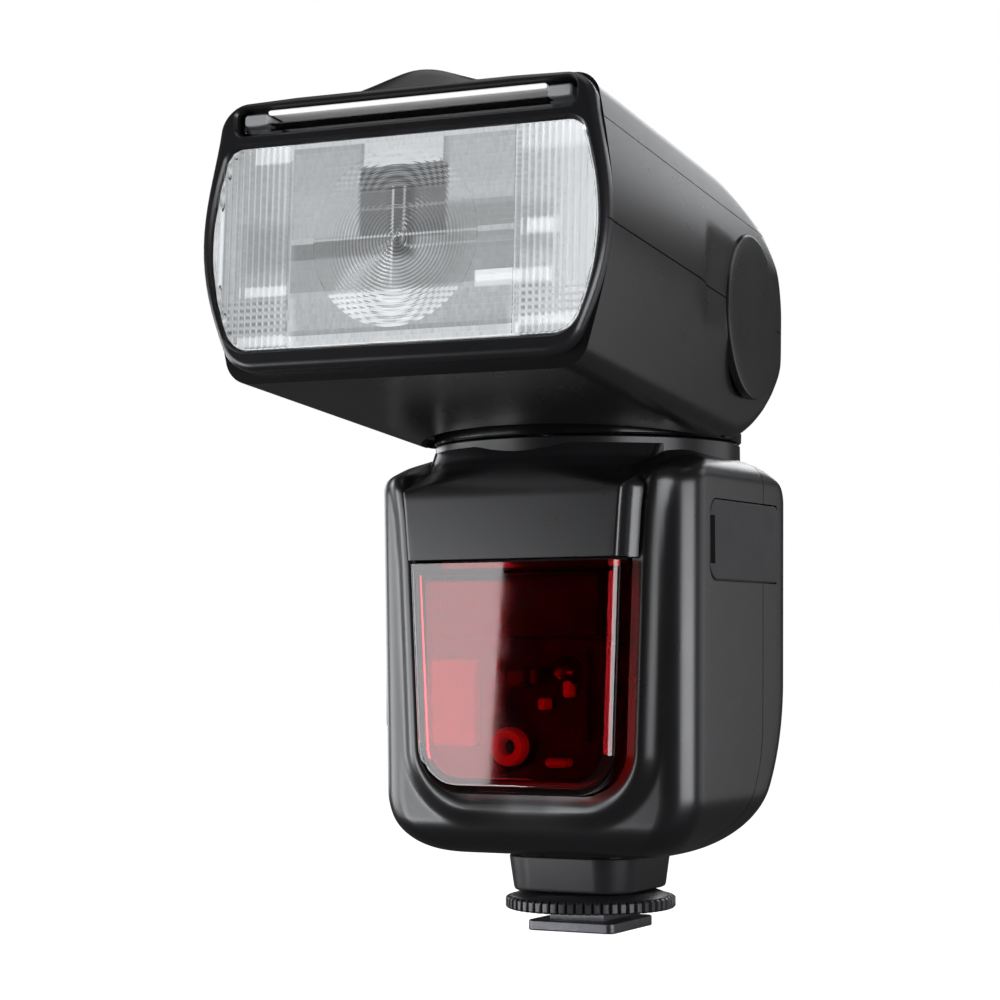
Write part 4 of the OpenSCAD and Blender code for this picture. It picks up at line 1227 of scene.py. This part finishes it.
def build_key_panel():
    through = [(0, 0), (40, 0)]
    edge = [(14, 0.0), (PANEL_Y - 0.9, 0.0), (PANEL_Y - 0.55, 0.1), (PANEL_Y - 0.2, 0.35), (PANEL_Y, 0.8)]
    panel = raised("key_panel", round_rect(50, 56, 5, 10), edge, (0, 60))
    subtract(panel, case_solid("panel_fit", 0.02), block((-22.8, 0, 33), (22.8, PANEL_Y - 2.2, 85.8)))
    subtract(panel, raised("display_room", round_rect(43.7, 21.7, 2, 6), [(PANEL_Y - 1.7, 0), (40, 0)], DISPLAY),
             raised("display_hole", round_rect(40, 18.4, 1, 4), through, DISPLAY))
    for place in KEY_PLACES:
        subtract(panel, raised("key_hole", round_rect(8.6, 4.6, 1.6, 5), through, place))
    for x, z, r in ((*DIAL, 10), (-18, 50, 3.6), (-18, 38, 3.6), (18, 50, 4.0)):
        subtract(panel, rod(r, 0, 40, 72, axis="y", centre=(x, 0, z)))
    subtract(panel, raised("switch_hole", round_rect(8.8, 4.6, 1.4, 5), through, (17.3, 38)))
    finish(panel, "body_plastic", "keypad_bezel", paint=PAINTS["trim_plastic"])


def build_display():
    screen = raised("screen", round_rect(43.4, 21.4, 1.8, 6), rounded(PANEL_Y - 1.6, PANEL_Y, 0.35, 4), DISPLAY)
    finish(screen, "screen", "display_lens")
    glass = raised("lcd", round_rect(42, 19.4, 0.6, 3), rounded(22.6, PANEL_Y - 2.42, 0.3, 3), DISPLAY)
    finish(glass, "lcd_glass", "lcd_module")
    # generic marks on the display: X, Z, width and height
    marks = [(-16, 80.6, 5, 1.6), (-9.6, 80.6, 4, 1.6), (14.5, 80.6, 8, 1.6), (0, 68.2, 38, 0.35)]
    marks += [(-16.2 + 3.4 * i, 69.9, 2.2, 0.5 + 0.28 * i) for i in range(7)]
    for i, x in enumerate((-4.5, 1.2, 6.9)):
        marks += [(x, 78.0, 3.0, 0.8), (x, 71.8, 3.0, 0.8)]
        marks += [(x - 1.6, 76.4, 0.8, 1.8), (x, 74.9, 3.0, 0.8)] if i == 1 else [(x + 1.6, 74.9, 0.8, 4.6)]
    bars = [raised("display_marks", round_rect(w, h, min(w, h) * 0.3, 3), [(PANEL_Y - 2.45, 0), (PANEL_Y - 2.34, 0)],
                   (x, z)) for x, z, w, h in marks]
    finish(unite(*bars), "sleeve_dark")


def build_keys():
    for k, place in enumerate(KEY_PLACES, 1):
        key_cap("key_cap_%d" % k, round_rect(8, 4, 1.3, 5), place, "key_%d" % k, "soft_key_%d" % k)
    key_cap("mode_cap", circle(3.3, 48), (-18, 50), "mode_key", "mode_button")
    key_cap("wireless_cap", circle(3.3, 48), (-18, 38), "wireless_key", "wireless_button")
    key_cap("test_cap", circle(3.7, 48), (18, 50), "test_key", "test_button", CLEAR_KEY)
    key_cap("set_cap", circle(5.4, 64), DIAL, "set_key", "set_button")
    switch = (15.8, 38)
    rocker = raised("rocker", round_rect(5.2, 4, 1, 5), rounded(HALF_D + 0.6, KEY_TOP, 0.3, 3), switch)
    unite(rocker, raised("rocker_base", round_rect(7.6, 5.6, 1, 4), [(HALF_D - 0.9, 0), (HALF_D + 0.7, 0)], switch))
    for x in (14.6, 15.8, 17.0):
        subtract(rocker, block((x - 0.22, KEY_TOP - 0.35, 35.8), (x + 0.22, KEY_TOP + 1, 40.2)))
    finish(rocker, "key_rubber", "power_switch", body="power_key")
    centre = (DIAL[0], 0, DIAL[1])
    edge = [(HALF_D - 1, 0.0), (KEY_TOP - 0.4, 0.0), (KEY_TOP - 0.12, 0.12), (KEY_TOP, 0.4)]
    dial = toothed_ring("dial_wheel", teeth(9.55, 0.35, 44), edge, "y", centre)
    unite(dial, rod(10.7, HALF_D - 2.2, HALF_D - 0.9, 96, axis="y", centre=centre))
    bore = [(0, 0), (6.4, 0), (6.4, KEY_TOP - 0.4), (6.75, KEY_TOP + 0.01), (6.75, 40), (0, 40)]
    subtract(dial, lathe("dial_hole", bore, 96, axis="y", centre=centre))
    finish(dial, "key_rubber", "dial_ring", body="dial")


build_key_panel()
build_display()
build_keys()


# ---- battery pack, latch and flap over the sockets

SOCKETS = ((-9, 1.4), (0, 1.8))        # Y and radius of the round sockets
SOCKET_Z = 74.5


def build_sides():
    low, high = size_mm("battery_pack")
    middle = (low + high) / 2
    width, height = high.y - low.y, high.z - low.z
    pack = loft("pack", round_rect(width, height, 2, 6), rounded(low.x + 0.02, high.x, 0.4, 3, both=True), plane="x",
                centre=(middle.y, middle.z))
    for z in (-9, -3, 3, 9):
        subtract(pack, block((high.x - 2, middle.y - 1.4, middle.z + z - 1.6),
                             (high.x + 1, middle.y + 1.4, middle.z + z + 1.6)))
    subtract(pack, block((low.x - 1, middle.y - 5, middle.z + 14), (low.x + 1, middle.y + 5, middle.z + 17)))
    for i in range(9):
        z = middle.z - 12 + 2.4 * i
        subtract(pack, block((low.x - 1, middle.y - 7.5, z - 0.35), (low.x + 0.5, middle.y + 7.5, z + 0.35)))
    finish(pack, "battery_plastic", "battery_pack", body="battery")
    edge = [(-HALF_W + 0.62, 0.25), (-HALF_W + 0.85, 0), (-HALF_W + 1.5, 0)]
    latch = loft("latch_key", round_rect(8, 4, 1, 4), edge, plane="x", centre=(-11, 81.2))
    for z in (80.2, 81.2, 82.2):
        unite(latch, block((-HALF_W + 0.22, -14, z - 0.2), (-HALF_W + 0.8, -8, z + 0.2)))
    unite(latch, block((-HALF_W + 1.4, -12.4, 80.3), (-HALF_W + 3.4, -9.6, 82.3)))
    finish(latch, "trim_plastic", "battery_latch", body="latch")
    flap = loft("flap", flap_outline(0.0), rounded(HALF_W - 1.6, HALF_W - 0.02, 0.3, 4), plane="x")
    unite(flap, rod(0.8, 67.6, 81.4, 32, centre=(HALF_W - 0.8, FLAP_HINGE_Y, 0)))
    subtract(flap, block((HALF_W - 0.9, -19, 70), (HALF_W + 1, -15.8, 79)))
    finish(flap, "flap_rubber", "port_cover", body="port_flap")
    sockets = loft("socket_plate", round_rect(30, 13, 1, 4), [(HALF_W - 5.2, 0), (HALF_W - 2.8, 0)], plane="x",
                   centre=(-1, SOCKET_Z))
    for y, r in SOCKETS:
        subtract(sockets, rod(r, HALF_W - 5, 50, 32, axis="x", centre=(0, y, SOCKET_Z)))
    subtract(sockets, block((HALF_W - 5, 5, 72.9), (50, 11, 76.1)))
    finish(sockets, "inner_plastic", "port_panel")
    for y, r in SOCKETS:
        rim = lathe("socket_rim", [(r, HALF_W - 4.6), (r + 0.7, HALF_W - 4.6), (r + 0.7, HALF_W - 2.7),
                                   (r, HALF_W - 2.7)], 32, axis="x", centre=(0, y, SOCKET_Z))
        finish(rim, "steel")


build_sides()


# ---- CAD parts that are shown as they are

def paint_nodes():
    """Materials of the CAD nodes that stay visible, with the flat shading of their edges kept."""
    for entry in frame["record"]["subparts"]:
        node = NODES[entry["node"]]
        if node.hide_render:
            continue
        node.data.materials.clear()
        node.data.materials.append(PAINTS[entry["material_slot"]])


paint_nodes()


# ---- camera, lights, floor

def placed(position, forward, roll=0.0):
    """Placement at a point in millimetres that faces a direction along its own -Z, rolled about it."""
    return (Matrix.Translation(Vector(position) * MM) @ forward.to_track_quat("-Z", "Y").to_matrix().to_4x4()
            @ Matrix.Rotation(math.radians(roll), 4, "Z"))


def build_camera(scene):
    camera = bpy.data.objects.new("camera", bpy.data.cameras.new("camera"))
    scene.collection.objects.link(camera)
    camera.data.sensor_width = 36
    camera.data.lens = CAMERA_LENS
    yaw, pitch = math.radians(CAMERA_YAW), math.radians(CAMERA_PITCH)
    forward = Vector((-math.sin(yaw) * math.cos(pitch), math.cos(yaw) * math.cos(pitch), math.sin(pitch)))
    camera.matrix_world = placed(CAMERA_PLACE, forward, CAMERA_ROLL)
    scene.camera = camera


def build_world(scene):
    """White seen by the camera, dim for everything else."""
    world = bpy.data.worlds.new("studio")
    scene.world = world
    world.use_nodes = True
    tree = world.node_tree
    tree.nodes["Background"].inputs["Color"].default_value = (1, 1, 1, 1)
    ray = tree.nodes.new("ShaderNodeLightPath")
    level = tree.nodes.new("ShaderNodeMapRange")
    set_range(level, 0.0, 1.0, AMBIENT, 1.0)
    tree.links.new(ray.outputs["Is Camera Ray"], level.inputs["Value"])
    tree.links.new(level.outputs["Result"], tree.nodes["Background"].inputs["Strength"])


def backdrop(name, corners, seen_by, **look):
    """Flat screen met by one kind of ray only; not part of the object."""
    screen = from_data(name, corners, [(0, 1, 2, 3)])
    material, _, shader = new_material(name)
    set_inputs(shader, **look)
    screen.data.materials.append(material)
    for ray in ("camera", "diffuse", "glossy", "transmission", "shadow"):
        setattr(screen, "visible_" + ray, ray == seen_by)


def softbox(name, position, target, width, height, radiance, roll=0.0):
    """Area light that no view shows directly; sizes in millimetres."""
    light = bpy.data.lights.new(name, "AREA")
    light.shape = "RECTANGLE"
    light.size, light.size_y = width * MM, height * MM
    light.energy = radiance * math.pi * light.size * light.size_y
    light.color = LIGHT_COLOUR
    obj = bpy.data.objects.new(name, light)
    bpy.context.scene.collection.objects.link(obj)
    obj.matrix_world = placed(position, Vector(target) - Vector(position), roll)
    obj.visible_camera = False


def studio():
    scene = bpy.context.scene
    scene.view_settings.view_transform = "Standard"
    build_camera(scene)
    build_world(scene)
    # pale floor for the camera, and a black flag beside the key light for reflections
    backdrop("floor", [(x, y, FLOOR_Z) for x, y in ((-3000, -3000), (3000, -3000), (3000, 3000), (-3000, 3000))],
             "camera", Base_Color=(0.1, 0.1, 0.1, 1), Emission_Color=(1, 1, 1, 1), Emission_Strength=1.0)
    backdrop("flag", [(x, -402, z) for x, z in ((-199, -5), (70, -5), (70, 260), (-199, 260))],
             "glossy", Base_Color=(0, 0, 0, 1), Specular_IOR_Level=0.0)
    for settings in SOFTBOXES:
        softbox(*settings)


CAMERA_PLACE = (211.17, -435.55, 54.58)
CAMERA_YAW, CAMERA_PITCH, CAMERA_ROLL = 27.92, 3.45, -0.27
CAMERA_LENS = 88.34
LIGHT_COLOUR = (0.97, 0.98, 1.0)
FLOOR_Z = -2
AMBIENT = 0.06
# Name, position, target, width, height, radiance, roll
SOFTBOXES = [
    ("key_left", (-375, -400, 27), (-375, 0, 27), 350, 146, 7.2, -4.4),
    ("side_left", (-480, -140, 18), (0, 0, 30), 320, 200, 6.0),
    ("side_right", (430, -150, 38), (0, 0, 50), 360, 160, 8.6),
    ("low_left", (-325, -400, -78), (-325, 0, -78), 260, 60, 14.0),
    ("back_right", (330, 420, 330), (0, 0, 110), 300, 200, 1.1),
    ("back_low", (430, 430, 60), (0, 0, 80), 420, 260, 0.9),
    ("back_high", (-120, 560, 400), (0, 0, 90), 460, 240, 4.0),
    ("back_left", (-520, 330, 120), (0, 0, 80), 260, 260, 2.5),
    ("top", (0, -60, 520), (0, 0, 100), 420, 420, 1.2),
]
studio()
